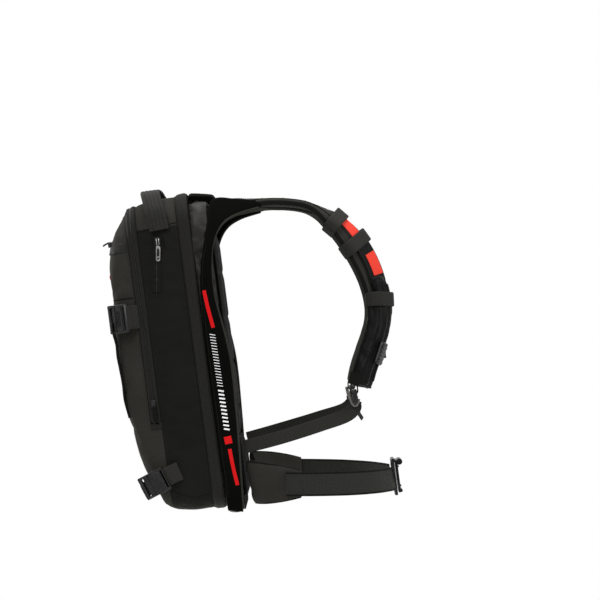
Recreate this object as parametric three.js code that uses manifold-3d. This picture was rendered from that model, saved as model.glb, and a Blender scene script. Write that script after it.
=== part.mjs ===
// An avalanche airbag backpack, in millimetres.
// +X points forward from the wearer's back, +Y to the wearer's left, +Z up along the back.
// The origin lies on the flat face of the back pad, where the pack rests against the wearer.
import * as THREE from 'three';
import { mergeVertices } from 'three/addons/utils/BufferGeometryUtils.js';
import Module from 'manifold-3d';

const wasm = await Module();
wasm.setup();

// Driving dimensions.
const gap = 0.4;                // clearance between pieces that touch
const wall = 3;                 // coated fabric with its foam backing
const seamB = -140;             // front panel meets its zip
const zipMiddle = -132;         // where the front zip's two tapes meet
const seamA = -124;             // front zip meets the main compartment
const seamC = -57;              // main compartment meets the rear zip band
const seamD = -38;              // rear zip band meets the airbag compartment
const compartmentEnd = -17;     // open face of the airbag compartment
const foldZ = -98;              // the front panel folds down along this line
const frontX = -177;            // outermost face of the bag
const webbing = 2;              // webbing thickness
const carryWebbing = 25;        // width of the carry straps across the front
const sternumWebbing = 20;
const lowerWebbing = 22;        // from the shoulder straps' ends to the bag
const hipWebbing = 38;
const cornerRadius = 48;        // rounded corners of the bag, seen from the front
const padPlane = -7.6;          // back of the pads, in front of the back panel
const strapThickness = 13;
const handleWidth = 28;
const handleThickness = 5;
const upperStrapZ = 80;
const sternumZ = -25;
const sternumX = 246;
const keeperLength = 24;        // webbing keepers, along the shoulder strap
const lockY = 108;              // ladder-locks, to each side of the middle
const hipZ = -207;              // middle of the hip belt where it leaves the back
const hipSlope = 0.13;          // it drops by this much for each millimetre forward
const hipBuckleX = 236;
const airbagZ = [70, 238];
const blower = { centre: [0, 120], back: -39, front: -96, radius: 52, shell: 4, intake: 30, outlet: 20 };
const cells = { x: -62, offset: 16, radius: 17, bottom: -36, top: 52 };
const controlBox = { front: -92, back: -42, half: 45, bottom: -112, top: -44, button: [0, -75] };
const dividerX = -100;

// The bag's outline along its depth: half its width, and its lowest and highest point.
const bagStations = [
  { x: -177, half: 112, bottom: -60, top: 172 },
  { x: -174, half: 122, bottom: -100, top: 186 },
  { x: -163, half: 131, bottom: -158, top: 218 },
  { x: -138, half: 139, bottom: -228, top: 255 },
  { x: -125, half: 142, bottom: -238, top: 259 },
  { x: -90, half: 145, bottom: -243, top: 263 },
  { x: -38, half: 145, bottom: -244, top: 269 },
];
const compartmentStations = [
  { x: -38, half: 142, bottom: -246, top: 254 },
  { x: -30, half: 141, bottom: -259, top: 252 },
  { x: -8, half: 137, bottom: -252, top: 247 },
];

const colours = {
  fabric: 0x262622, nylon: 0x413f3a, webbing: 0x3e3a37, foam: 0x1d1d1c, red: 0xd61418,
  plastic: 0x151515, metal: 0x96968f, airbag: 0xd8552a, housing: 0x2b2d30,
};

function material(colour, roughness = 0.85, metalness = 0) {
  return new THREE.MeshStandardMaterial({ color: colour, roughness, metalness });
}

const pack = new THREE.Group();

function add(name, geometry, colour, roughness, metalness) {
  const mesh = new THREE.Mesh(geometry, material(colour, roughness, metalness));
  mesh.name = name;
  pack.add(mesh);
  return mesh;
}

// Solids.

function signedVolume(positions, index) {
  const a = new THREE.Vector3();
  const b = new THREE.Vector3();
  const c = new THREE.Vector3();
  let total = 0;
  for (let i = 0; i < index.length; i += 3) {
    a.fromArray(positions, 3 * index[i]);
    b.fromArray(positions, 3 * index[i + 1]);
    c.fromArray(positions, 3 * index[i + 2]);
    total += a.dot(b.cross(c));
  }
  return total / 6;
}

// A solid through a row of rings of points; an open row is closed with a fan at each end.
function ringSolid(rings, closed = false) {
  const count = rings[0].length;
  const positions = rings.flat().flatMap((p) => [p.x, p.y, p.z]);
  const index = [];
  const spans = closed ? rings.length : rings.length - 1;
  for (let i = 0; i < spans; i += 1) {
    const next = (i + 1) % rings.length;
    for (let j = 0; j < count; j += 1) {
      const k = (j + 1) % count;
      index.push(i * count + j, next * count + j, next * count + k);
      index.push(i * count + j, next * count + k, i * count + k);
    }
  }
  if (!closed) {
    [0, rings.length - 1].forEach((end) => {
      const centre = new THREE.Vector3();
      rings[end].forEach((p) => centre.addScaledVector(p, 1 / count));
      const apex = positions.length / 3;
      positions.push(centre.x, centre.y, centre.z);
      for (let j = 0; j < count; j += 1) {
        const k = (j + 1) % count;
        if (end === 0) index.push(apex, end * count + j, end * count + k);
        else index.push(apex, end * count + k, end * count + j);
      }
    });
  }
  if (signedVolume(positions, index) < 0) index.reverse();
  const geometry = new THREE.BufferGeometry();
  geometry.setAttribute('position', new THREE.Float32BufferAttribute(positions, 3));
  geometry.setIndex(index);
  geometry.computeVertexNormals();
  return geometry;
}

function toManifold(geometry) {
  const bare = geometry.clone();
  bare.deleteAttribute('normal');
  bare.deleteAttribute('uv');
  const merged = mergeVertices(bare, 1e-3);
  return new wasm.Manifold(new wasm.Mesh({
    numProp: 3,
    vertProperties: new Float32Array(merged.attributes.position.array),
    triVerts: new Uint32Array(merged.index.array),
  }));
}

function fromManifold(solid) {
  const mesh = solid.getMesh();
  const geometry = new THREE.BufferGeometry();
  geometry.setAttribute('position', new THREE.Float32BufferAttribute(mesh.vertProperties, 3));
  geometry.setIndex(Array.from(mesh.triVerts));
  geometry.computeVertexNormals();
  return geometry;
}

function subtract(geometry, ...tools) {
  return fromManifold(tools.reduce((solid, tool) => solid.subtract(toManifold(tool)), toManifold(geometry)));
}

function join(...geometries) {
  return fromManifold(geometries.map(toManifold).reduce((solid, other) => solid.add(other)));
}

function block(x0, x1, y0, y1, z0, z1) {
  const box = new THREE.BoxGeometry(x1 - x0, y1 - y0, z1 - z0);
  return box.translate((x0 + x1) / 2, (y0 + y1) / 2, (z0 + z1) / 2);
}

// A rod along x, with across its y and z, or along z, with across its x and y.
function cylinderAlong(axis, radius, from, to, across, sides = 32) {
  const rod = new THREE.CylinderGeometry(radius, radius, to - from, sides);
  const middle = (from + to) / 2;
  if (axis === 'x') return rod.rotateZ(Math.PI / 2).translate(middle, across[0], across[1]);
  return rod.rotateX(Math.PI / 2).translate(across[0], across[1], middle);
}

// Bag sections: rounded rectangles in planes across the depth.

function stationAt(stations, x) {
  const last = stations.length - 1;
  let i = 0;
  while (i < last - 1 && x > stations[i + 1].x) i += 1;
  const a = stations[i];
  const b = stations[i + 1];
  const t = Math.min(1, Math.max(0, (x - a.x) / (b.x - a.x)));
  const mix = (key) => THREE.MathUtils.lerp(a[key], b[key], t);
  return { half: mix('half'), bottom: mix('bottom'), top: mix('top') };
}

function roundedRing(x, y0, y1, z0, z1, radius, steps = 5) {
  const r = Math.min(radius, (y1 - y0) / 2.01, (z1 - z0) / 2.01);
  const corners = [[y1 - r, z1 - r], [y0 + r, z1 - r], [y0 + r, z0 + r], [y1 - r, z0 + r]];
  return corners.flatMap(([cy, cz], quarter) => Array.from({ length: steps + 1 }, (_, i) => {
    const angle = (quarter + i / steps) * Math.PI / 2;
    return new THREE.Vector3(x, cy + r * Math.cos(angle), cz + r * Math.sin(angle));
  }));
}

function bagSolid(stations, from, to, inset = 0) {
  const between = stations.map((s) => s.x).filter((x) => x > from + 0.5 && x < to - 0.5);
  return ringSolid([from, ...between, to].map((x) => {
    const s = stationAt(stations, x);
    return roundedRing(x, -s.half + inset, s.half - inset, s.bottom + inset, s.top - inset,
      cornerRadius - inset);
  }));
}

// A pad with a flat face and softened edges, its depth along X.
function padAlongX(x0, x1, halfY, z0, z1, radius, y = 0) {
  const ring = (x, inset) => roundedRing(x, y - halfY + inset, y + halfY - inset,
    z0 + inset, z1 - inset, radius - inset);
  return ringSolid([ring(x0, 3), ring(x0 + 2, 0), ring(x1 - 3, 0), ring(x1, 4)]);
}

// Straps: a rounded strip swept along a smooth route, with its width direction given.

function frameAt(curve, t, across) {
  const tangent = curve.getTangentAt(t).normalize();
  const wide = across.clone().addScaledVector(tangent, -across.dot(tangent)).normalize();
  return { centre: curve.getPointAt(t), tangent, wide, normal: tangent.clone().cross(wide) };
}

function stripRing(frame, width, thickness, bevel) {
  const w = width / 2;
  const h = thickness / 2;
  const outline = [[w, h - bevel], [w - bevel, h], [bevel - w, h], [-w, h - bevel],
    [-w, bevel - h], [bevel - w, -h], [w - bevel, -h], [w, bevel - h]];
  return outline.map(([a, b]) => frame.centre.clone()
    .addScaledVector(frame.wide, a).addScaledVector(frame.normal, b));
}

function strip(points, across, width, thickness, steps) {
  const curve = new THREE.CatmullRomCurve3(points, false, 'centripetal');
  const widthAt = typeof width === 'function' ? width : () => width;
  const acrossAt = typeof across === 'function' ? across : () => across;
  return ringSolid(Array.from({ length: steps + 1 }, (_, i) => {
    const t = i / steps;
    return stripRing(frameAt(curve, t, acrossAt(t)), widthAt(t), thickness, thickness / 4);
  }));
}

const point = (x, y, z) => new THREE.Vector3(x, y, z);

// The bag.

function makeBagShells() {
  const inner = bagSolid(bagStations, frontX + wall, seamD + 20, wall);
  const outer = bagSolid(bagStations, frontX, seamD - gap);
  const shell = toManifold(outer).subtract(toManifold(inner));
  const slice = (x0, x1, z0, z1) => fromManifold(
    shell.intersect(toManifold(block(x0, x1, -200, 200, z0, z1))));
  const panelBottom = foldZ + gap;
  add('front_panel', slice(-200, seamB - gap, panelBottom, 300), colours.fabric);
  add('front_lower', slice(-200, seamA - gap, -300, foldZ - gap), colours.fabric);
  add('front_zip_tape', slice(seamB, zipMiddle - gap, panelBottom, 300), colours.webbing);
  add('main_zip_tape', slice(zipMiddle, seamA - gap, panelBottom, 300), colours.webbing);
  add('main_shell', slice(seamA, seamC - gap, -300, 300), colours.fabric);
  add('rear_zip_band', slice(seamC, seamD - gap, -300, 300), colours.fabric);
}

function makeAirbagCompartment() {
  const outer = bagSolid(compartmentStations, seamD, compartmentEnd);
  const hollow = bagSolid(compartmentStations, seamD + wall, compartmentEnd + 4, wall);
  const ductHole = cylinderAlong('x', blower.outlet + 1, seamD - 5, seamD + wall + 5, blower.centre);
  add('airbag_compartment', subtract(outer, hollow, ductHole), colours.nylon);
  add('folded_airbag', padAlongX(seamD + wall + 1, compartmentEnd - 2, 112, ...airbagZ, 26), colours.airbag);
}

function makeBackSystem() {
  const sheetBack = compartmentEnd + gap;
  add('frame_sheet', bagSolid(compartmentStations, sheetBack, -14.4, 4), colours.plastic, 0.5);
  [-1, 1].forEach((side) => {
    const name = side > 0 ? 'frame_stay_left' : 'frame_stay_right';
    const edges = [side * 34, side * 48].sort((a, b) => a - b);
    add(name, block(-14, -12, ...edges, -210, 215), colours.metal, 0.35, 1);
  });
  add('back_panel', bagSolid(compartmentStations, -11.6, -8, 1), colours.fabric);
  add('back_pad', padAlongX(padPlane, 0, 105, -130, 205, 30), colours.foam);
  add('lumbar_pad', padAlongX(padPlane, 3, 104, -232, -136, 26), colours.foam);
  add('harness_yoke', padAlongX(-36, 2, 82, 255, 265, 4), colours.fabric);
}

function makeGrabHandle() {
  const foot = [point(-87, -148, 213), point(-88, -147, 228), point(-91, -143, 248)];
  const rise = [point(-95, -122, 268), point(-97.5, -88, 277), point(-97.5, -30, 280)];
  const half = [...foot, ...rise];
  const mirrored = half.map((p) => point(p.x, -p.y, p.z)).reverse();
  add('grab_handle', strip([...half, ...mirrored], point(1, 0, 0), handleWidth, handleThickness, 37),
    colours.webbing);
}

// Shoulder straps. The route is the right-hand one; the left is its mirror image.

const strapRoute = [
  [6, -52, 244], [24, -58, 240], [50, -66, 239], [84, -76, 237], [124, -84, 231], [153, -88, 222],
  [181, -90, 204], [206, -90, 177], [226, -88, 144], [239, -86, 108], [244, -86, 76],
  [242, -88, 45], [233, -93, 12], [217, -98, -22], [203, -103, -52], [195, -106, -76],
];

function strapCurve(side) {
  return new THREE.CatmullRomCurve3(
    strapRoute.map(([x, y, z]) => point(x, -side * y, z)), false, 'centripetal');
}

// Level over the shoulder; at its root and down the chest the outer edge lies closer to the body.
function strapAcross(side) {
  const curve = strapCurve(side);
  return (t) => {
    const tangent = curve.getTangentAt(t);
    const root = 0.45 * (1 - THREE.MathUtils.smoothstep(t, 0, 0.2));
    const chest = 0.5 * THREE.MathUtils.smoothstep(t, 0.33, 0.55);
    const inward = root + chest;
    return point(inward * tangent.z, side, -inward * tangent.x);
  };
}

const strapWidth = (t) => 58 - 20 * THREE.MathUtils.smoothstep(t, 0.55, 0.8);

function makeKeeper(name, t, extra) {
  const curve = strapCurve(-1);
  const frame = frameAt(curve, t, strapAcross(-1)(t));
  const width = strapWidth(t) + 6;
  const depth = strapThickness + 6 + extra;
  const inner = stripRing(frame, width, depth, 2);
  const outer = stripRing(frame, width + 2 * webbing, depth + 2 * webbing, 2);
  const lift = frame.normal.clone().multiplyScalar(-extra / 2);
  const rings = inner.map((p, i) => [[p, -1], [p, 1], [outer[i], 1], [outer[i], -1]]
    .map(([q, end]) => q.clone().add(lift).addScaledVector(frame.tangent, end * keeperLength / 2)));
  add(name, ringSolid(rings, true), colours.webbing);
}

function makeShoulderStraps() {
  [[-1, 'right'], [1, 'left']].forEach(([side, name]) => {
    const route = strapCurve(side).points;
    add(`shoulder_strap_${name}`, strip(route, strapAcross(side), strapWidth, strapThickness, 36),
      colours.fabric);
    const start = [point(186, side * 109, -118), point(130, side * 128, -130)];
    const end = [point(60, side * 140, -142), point(2, side * 128, -150)];
    add(`lower_webbing_${name}`, strip([...start, ...end], point(0, 0.15, 1), lowerWebbing, webbing, 12),
      colours.webbing);
    const middle = side * lockY;
    const lockBody = block(186, 194, middle - 20, middle + 20, -104, -82);
    const slots = [[-101, -96], [-91, -86]].map(([z0, z1]) => block(170, 210, middle - 13,
      middle + 13, z0, z1));
    add(`ladder_lock_${name}`, subtract(lockBody, ...slots), colours.plastic, 0.45);
  });
}

// The pouch on the right strap's outer face holds the trigger; its upper part carries the patch.

function onOuterFace({ from, to, lift, width, thickness, aside = 0, steps }) {
  const curve = strapCurve(-1);
  const across = strapAcross(-1);
  const strapT = (t) => THREE.MathUtils.lerp(from, to, t);
  const route = Array.from({ length: steps + 1 }, (_, i) => {
    const t = strapT(i / steps);
    const frame = frameAt(curve, t, across(t));
    const out = strapThickness / 2 + lift + thickness / 2;
    return frame.centre.addScaledVector(frame.normal, -out).addScaledVector(frame.wide, -aside);
  });
  return strip(route, (t) => across(strapT(t)), width, thickness, 2 * steps);
}

function makeTriggerSide() {
  const pouchThickness = 13;
  const pouch = { from: 0.655, to: 0.95, lift: 2, thickness: pouchThickness, width: 36, steps: 9 };
  const patch = { from: 0.545, to: 0.64, lift: 1.5, thickness: 7, width: 30, aside: 8, steps: 3 };
  const grip = { from: 0.84, to: 0.915, lift: 3 + pouchThickness, thickness: 9, width: 20, steps: 2 };
  add('trigger_pouch', onOuterFace(pouch), colours.fabric);
  add('red_patch', onOuterFace(patch), colours.red);
  add('trigger_handle', onOuterFace(grip), colours.plastic, 0.5);
  makeKeeper('strap_keeper_upper', 0.415, 5);
  makeKeeper('strap_keeper_middle', 0.51, 5);
  makeKeeper('strap_keeper_lower', 0.71, pouchThickness + 4);
}

// Side-release buckles. Local x runs into the socket, y across the webbing, z through it.

function placed(geometry, origin, alongX, alongY) {
  const x = alongX.clone().normalize();
  const z = x.clone().cross(alongY).normalize();
  const y = z.clone().cross(x);
  return geometry.applyMatrix4(new THREE.Matrix4().makeBasis(x, y, z).setPosition(origin));
}

function makeBuckle(prefix, width, origin, alongX, alongY, plugLength) {
  const half = width / 2 + 4;
  const socket = subtract(block(0, 26, -half, half, -5, 5),
    block(-1, 19, 2.5 - half, half - 2.5, -3, 3), block(21, 24, 4 - half, half - 4, -6, 6));
  const arms = [-1, 1].map((side) => {
    const y = side * (half - 6);
    return block(-2, 16, y - 2, y + 2, -2.2, 2.2);
  });
  const plugBody = subtract(block(-plugLength, -gap, -half, half, -4, 4),
    block(5 - plugLength, 9 - plugLength, 4 - half, half - 4, -6, 6));
  const plug = join(plugBody, block(-2, 16, -2, 2, -2.2, 2.2), ...arms);
  add(`${prefix}_socket`, placed(socket, origin, alongX, alongY), colours.plastic, 0.45);
  add(`${prefix}_plug`, placed(plug, origin, alongX, alongY), colours.plastic, 0.45);
}

function makeCarryStraps() {
  const up = point(0, 0, 1);
  makeBuckle('upper_strap', 38, point(-175, -131, upperStrapZ), point(0.75, -0.66, 0), up, 13);
  const tab = [[-154.3, -148.4], [-149, -144.5], [-143, -141]].map(([x, y]) => point(x, y, upperStrapZ));
  add('upper_strap_tab', strip(tab, up, carryWebbing + 13, webbing, 6), colours.webbing);
  const across = [[-179.5, -116], [-180.2, -108], [-180.5, -95], [-180.5, 0], [-180.5, 95], [-179.5, 114],
    [-174, 129], [-160, 138], [-146, 144]].map(([x, y]) => point(x, y, upperStrapZ));
  add('upper_strap_webbing', strip(across, up, carryWebbing, webbing, 28), colours.webbing);
  const chamferUp = point(-0.35, 0, 0.93);
  makeBuckle('lower_strap', 30, point(-150, -145, -190), point(0.93, -0.2, 0.35), chamferUp, 18);
  const low = [[-168, -126, -202], [-164, -108, -199], [-158, -70, -197], [-158, 0, -197],
    [-158, 70, -197], [-160, 104, -198], [-152, 130, -190]].map((p) => point(...p));
  add('lower_strap_webbing', strip(low, chamferUp, carryWebbing, webbing, 26), colours.webbing);
}

function makeSternumStrap() {
  const up = point(0, 0, 1);
  makeBuckle('sternum', sternumWebbing + 2, point(sternumX, -2, sternumZ), point(0, -1, 0), up, 18);
  const right = [[sternumX - 16, -70], [sternumX - 4, -46], [sternumX, -29.5]];
  const left = [[sternumX - 9, 54], [sternumX - 3, 40], [sternumX, 23]];
  [['right', right], ['left', left]].forEach(([side, places]) => {
    const route = places.map(([x, y]) => point(x, y, sternumZ));
    add(`sternum_webbing_${side}`, strip(route, up, sternumWebbing, webbing, 6), colours.webbing);
  });
}

// Hip belt: a padded wing at each side, webbing round the front, and a hook that lies over a frame.

function hipPoint(side, x, y) {
  return point(x, side * y, hipZ - hipSlope * x);
}

function makeHipBelt() {
  const tilt = point(-hipSlope, 0, 1);
  [[-1, 'right'], [1, 'left']].forEach(([side, name]) => {
    const wing = [[10, 121], [32, 146], [58, 158], [84, 164]].map(([x, y]) => hipPoint(side, x, y));
    add(`hip_wing_${name}`, strip(wing, tilt, (t) => 70 - 26 * t * t, 10, 12), colours.fabric);
    const belt = [[88, 164.5], [118, 166], [165, 150], [205, 112], [229, 66], [236, 44]]
      .map(([x, y]) => hipPoint(side, x, y));
    add(`hip_webbing_${name}`, strip(belt, tilt, hipWebbing, webbing + 0.4, 20), colours.webbing);
  });
  const x = hipBuckleX;
  const z = hipZ - hipSlope * x;
  const slot = (y0, y1) => block(x - 10, x + 20, y0, y1, z - 20, z + 20);
  const frame = subtract(block(x, x + 5, -42, 12, z - 28, z + 28), slot(-34, -28), slot(-18, 4));
  add('hip_buckle_frame', frame, colours.metal, 0.35, 1);
  const plate = subtract(block(x + 7.5, x + 11.5, -8, 42, z - 27, z + 27), slot(28, 34));
  add('hip_buckle_hook', plate, colours.metal, 0.35, 1);
}

// Zip sliders and the small pull on the side pocket.

function makeZipHardware() {
  add('main_zip_slider', block(-135.5, -128.5, -145, -142, -70, -56), colours.metal, 0.35, 1);
  add('side_zip_slider', block(-96, -88, -148.5, -145.4, 189, 201), colours.metal, 0.35, 1);
  add('side_zip_pull', block(-95, -89, -150.6, -149, 164, 188.3), colours.metal, 0.35, 1);
  add('front_zip_slider', block(-178, -171, -60, -50, 198, 206), colours.metal, 0.35, 1);
}

// The inflation system, fixed to the divider wall between the main and airbag compartments.

function makeBlower() {
  const { centre, back, front, radius, shell, intake, outlet } = blower;
  const housing = subtract(cylinderAlong('x', radius, front, back, centre),
    cylinderAlong('x', radius - shell, front + shell, back - shell, centre),
    cylinderAlong('x', intake, front - 2, front + shell + 1, centre),
    cylinderAlong('x', outlet, back - shell - 1, back + 1, centre));
  add('blower_housing', housing, colours.housing, 0.5);
  const bladeFront = front + 8;
  const discFront = front + 26;
  const blades = Array.from({ length: 8 }, (_, i) => block(bladeFront, discFront + 2, 10, 42, -1.2, 1.2)
    .rotateX(i * Math.PI / 4).translate(0, ...centre));
  const disc = cylinderAlong('x', 44, discFront, discFront + 3, centre);
  const hub = cylinderAlong('x', 13, bladeFront, discFront + 2, centre);
  add('impeller', join(disc, hub, ...blades), colours.housing, 0.5);
  add('blower_motor', cylinderAlong('x', 16, discFront + 4, back - 7, centre), colours.metal, 0.4, 1);
  const duct = subtract(cylinderAlong('x', outlet - 0.6, back - 2.5, back + 4.4, centre),
    cylinderAlong('x', outlet - 3.5, back - 6, back + 9, centre));
  add('air_duct', duct, colours.housing, 0.5);
}

function makePowerSupply() {
  const cell = (side) => cylinderAlong('z', cells.radius, cells.bottom, cells.top,
    [cells.x, side * cells.offset]);
  add('capacitor_bank', join(cell(-1), cell(1)), colours.housing, 0.5);
  const { front, back, half, bottom, top, button } = controlBox;
  const recess = cylinderAlong('x', 8.6, front - 3, front + 10, button);
  add('control_box', subtract(block(front, back, -half, half, bottom, top), recess), colours.housing, 0.5);
  add('power_button', cylinderAlong('x', 8, front - 3, front + 6, button), colours.red, 0.4);
}

function makeInnerDivider() {
  const { half, bottom, top } = stationAt(bagStations, dividerX);
  const clear = wall + 3;
  const rings = [dividerX - 1, dividerX + 1].map((x) => roundedRing(x, clear - half, half - clear,
    bottom + clear, top - clear, cornerRadius - clear));
  add('inner_divider', ringSolid(rings), colours.nylon);
}

makeBagShells();
makeAirbagCompartment();
makeBackSystem();
makeGrabHandle();
makeShoulderStraps();
makeTriggerSide();
makeCarryStraps();
makeSternumStrap();
makeHipBelt();
makeZipHardware();
makeBlower();
makePowerSupply();
makeInnerDivider();

export default pack;
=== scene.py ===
"""The avalanche airbag backpack's looks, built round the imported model. Metres, +X forward, +Y left, +Z up."""
import math

import bmesh
import bpy
import numpy as np
from mathutils import Matrix, Vector, noise
from mathutils.bvhtree import BVHTree


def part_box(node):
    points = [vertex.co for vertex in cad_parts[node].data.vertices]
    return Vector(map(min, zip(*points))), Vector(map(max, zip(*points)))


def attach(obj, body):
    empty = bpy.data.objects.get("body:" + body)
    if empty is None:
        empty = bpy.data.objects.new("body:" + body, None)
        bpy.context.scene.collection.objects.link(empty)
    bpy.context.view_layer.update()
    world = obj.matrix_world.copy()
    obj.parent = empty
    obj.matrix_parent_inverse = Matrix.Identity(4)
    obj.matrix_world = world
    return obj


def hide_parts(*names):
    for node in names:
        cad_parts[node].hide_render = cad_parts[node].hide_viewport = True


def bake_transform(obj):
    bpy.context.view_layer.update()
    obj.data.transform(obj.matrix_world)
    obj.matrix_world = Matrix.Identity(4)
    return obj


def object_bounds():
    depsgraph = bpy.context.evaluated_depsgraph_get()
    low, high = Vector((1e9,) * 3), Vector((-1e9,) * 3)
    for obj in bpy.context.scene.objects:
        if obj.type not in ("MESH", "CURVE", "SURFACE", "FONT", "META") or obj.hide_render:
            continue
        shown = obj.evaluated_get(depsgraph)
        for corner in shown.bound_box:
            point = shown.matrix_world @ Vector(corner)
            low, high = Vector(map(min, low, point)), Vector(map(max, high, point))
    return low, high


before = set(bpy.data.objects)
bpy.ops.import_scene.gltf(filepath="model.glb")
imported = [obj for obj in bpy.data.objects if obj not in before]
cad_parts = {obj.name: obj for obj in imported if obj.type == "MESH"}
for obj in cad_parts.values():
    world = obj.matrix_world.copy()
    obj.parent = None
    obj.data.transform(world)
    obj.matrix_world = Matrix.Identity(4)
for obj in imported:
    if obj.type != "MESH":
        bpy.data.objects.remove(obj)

CAD_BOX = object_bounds()
MM = 0.001
random = np.random.default_rng(7)


# ---------------------------------------------------------------- camera, light and floor

ROLL = math.radians(7.4)          # the pack leans back on the wearer by this much
AIM = (0.122, 0.073)              # x and z in the middle of the picture
VIEW_WIDTH = 0.96                 # metres across the picture at the pack's near side
DISTANCE = 4.0


def make_camera():
    """Looks square at the pack's right side, rolled by the lean of the wearer."""
    near_side = CAD_BOX[0][1]
    data = bpy.data.cameras.new("camera")
    data.sensor_width = 36.0
    data.lens = data.sensor_width * DISTANCE / VIEW_WIDTH
    camera = bpy.data.objects.new("camera", data)
    right = Vector((math.cos(ROLL), 0, -math.sin(ROLL)))
    up = Vector((math.sin(ROLL), 0, math.cos(ROLL)))
    back = right.cross(up)
    turn = Matrix((right, up, back)).transposed().to_4x4()
    place = Matrix.Translation((AIM[0], near_side - DISTANCE + 0.02, AIM[1]))
    camera.matrix_world = place @ turn
    bpy.context.scene.collection.objects.link(camera)
    bpy.context.scene.camera = camera


def area_light(name, at, target, size, watts):
    """A soft round light aimed at a point."""
    data = bpy.data.lights.new(name, "AREA")
    data.shape = "DISK"
    data.size = size
    data.energy = watts
    light = bpy.data.objects.new(name, data)
    light.location = at
    light.rotation_euler = (Vector(target) - Vector(at)).to_track_quat("-Z", "Y").to_euler()
    bpy.context.scene.collection.objects.link(light)


def make_studio():
    """White surroundings, four soft lights and a pale floor well below the pack."""
    scene = bpy.context.scene
    scene.view_settings.view_transform = "Standard"
    world = bpy.data.worlds.new("studio")
    world.use_nodes = True
    background = world.node_tree.nodes["Background"]
    background.inputs["Color"].default_value = (1, 1, 1, 1)
    background.inputs["Strength"].default_value = 1.0
    scene.world = world
    middle = (0.03, 0.0, 0.03)
    area_light("key", (-0.9, -2.4, 2.3), middle, 1.6, 110)
    area_light("top", (0.2, 0.2, 2.8), middle, 1.8, 90)
    area_light("front", (2.6, -1.2, 0.9), middle, 1.4, 50)
    area_light("back", (-2.2, 1.6, 1.2), middle, 1.4, 45)
    mesh = bpy.data.meshes.new("floor")
    half, down = 0.9, CAD_BOX[0][2] - 0.36
    corners = [(-half, -half, down), (half, -half, down), (half, half, down), (-half, half, down)]
    mesh.from_pydata(corners, [], [(0, 1, 2, 3)])
    mesh.materials.append(floor_material())
    floor = bpy.data.objects.new("floor", mesh)
    scene.collection.objects.link(floor)


# ---------------------------------------------------------------- materials

class Nodes:
    """A small helper for building one node material."""

    def __init__(self, name):
        self.material = bpy.data.materials.new(name)
        self.material.use_nodes = True
        self.tree = self.material.node_tree
        self.shader = self.tree.nodes["Principled BSDF"]

    def add(self, kind, **values):
        node = self.tree.nodes.new(kind)
        for key, value in values.items():
            if key in node.inputs:
                node.inputs[key].default_value = value
            else:
                setattr(node, key, value)
        return node

    def link(self, a, b):
        self.tree.links.new(a, b)

    def coordinates(self, scale):
        source = self.add("ShaderNodeTexCoord")
        mapping = self.add("ShaderNodeMapping")
        mapping.inputs["Scale"].default_value = scale if hasattr(scale, "__len__") else (scale,) * 3
        self.link(source.outputs["Object"], mapping.inputs["Vector"])
        return mapping.outputs["Vector"]

    def uv(self, scale):
        source = self.add("ShaderNodeUVMap")
        mapping = self.add("ShaderNodeMapping")
        mapping.inputs["Scale"].default_value = scale
        self.link(source.outputs["UV"], mapping.inputs["Vector"])
        return mapping.outputs["Vector"]

    def noise(self, vector, scale, detail=3.0, roughness=0.55):
        node = self.add("ShaderNodeTexNoise")
        node.inputs["Scale"].default_value = scale
        node.inputs["Detail"].default_value = detail
        node.inputs["Roughness"].default_value = roughness
        self.link(vector, node.inputs["Vector"])
        return node.outputs["Fac"]

    def wave(self, vector, scale, direction, distortion=0.0):
        node = self.add("ShaderNodeTexWave")
        node.wave_type = "BANDS"
        node.bands_direction = direction
        node.inputs["Scale"].default_value = scale
        node.inputs["Distortion"].default_value = distortion
        self.link(vector, node.inputs["Vector"])
        return node.outputs["Fac"]

    def math(self, kind, a, b):
        node = self.add("ShaderNodeMath")
        node.operation = kind
        for socket, value in zip(node.inputs, (a, b)):
            if isinstance(value, (int, float)):
                socket.default_value = value
            else:
                self.link(value, socket)
        return node.outputs[0]

    def ramp(self, factor, stops):
        node = self.add("ShaderNodeValToRGB")
        ramp = node.color_ramp
        while len(ramp.elements) < len(stops):
            ramp.elements.new(0.5)
        for element, (position, colour) in zip(ramp.elements, stops):
            element.position = position
            element.color = (*colour, 1)
        self.link(factor, node.inputs["Fac"])
        return node.outputs["Color"]

    def bump(self, height, strength, distance):
        node = self.add("ShaderNodeBump")
        node.inputs["Strength"].default_value = strength
        node.inputs["Distance"].default_value = distance
        self.link(height, node.inputs["Height"])
        self.link(node.outputs["Normal"], self.shader.inputs["Normal"])

    def roughness(self, factor, low, high):
        node = self.add("ShaderNodeMapRange")
        node.inputs["To Min"].default_value = low
        node.inputs["To Max"].default_value = high
        self.link(factor, node.inputs["Value"])
        self.link(node.outputs["Result"], self.shader.inputs["Roughness"])


def floor_material():
    """Plain pale floor."""
    n = Nodes("pale_floor")
    n.shader.inputs["Base Color"].default_value = (0.9, 0.9, 0.9, 1)
    n.shader.inputs["Roughness"].default_value = 0.9
    return n.material


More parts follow.
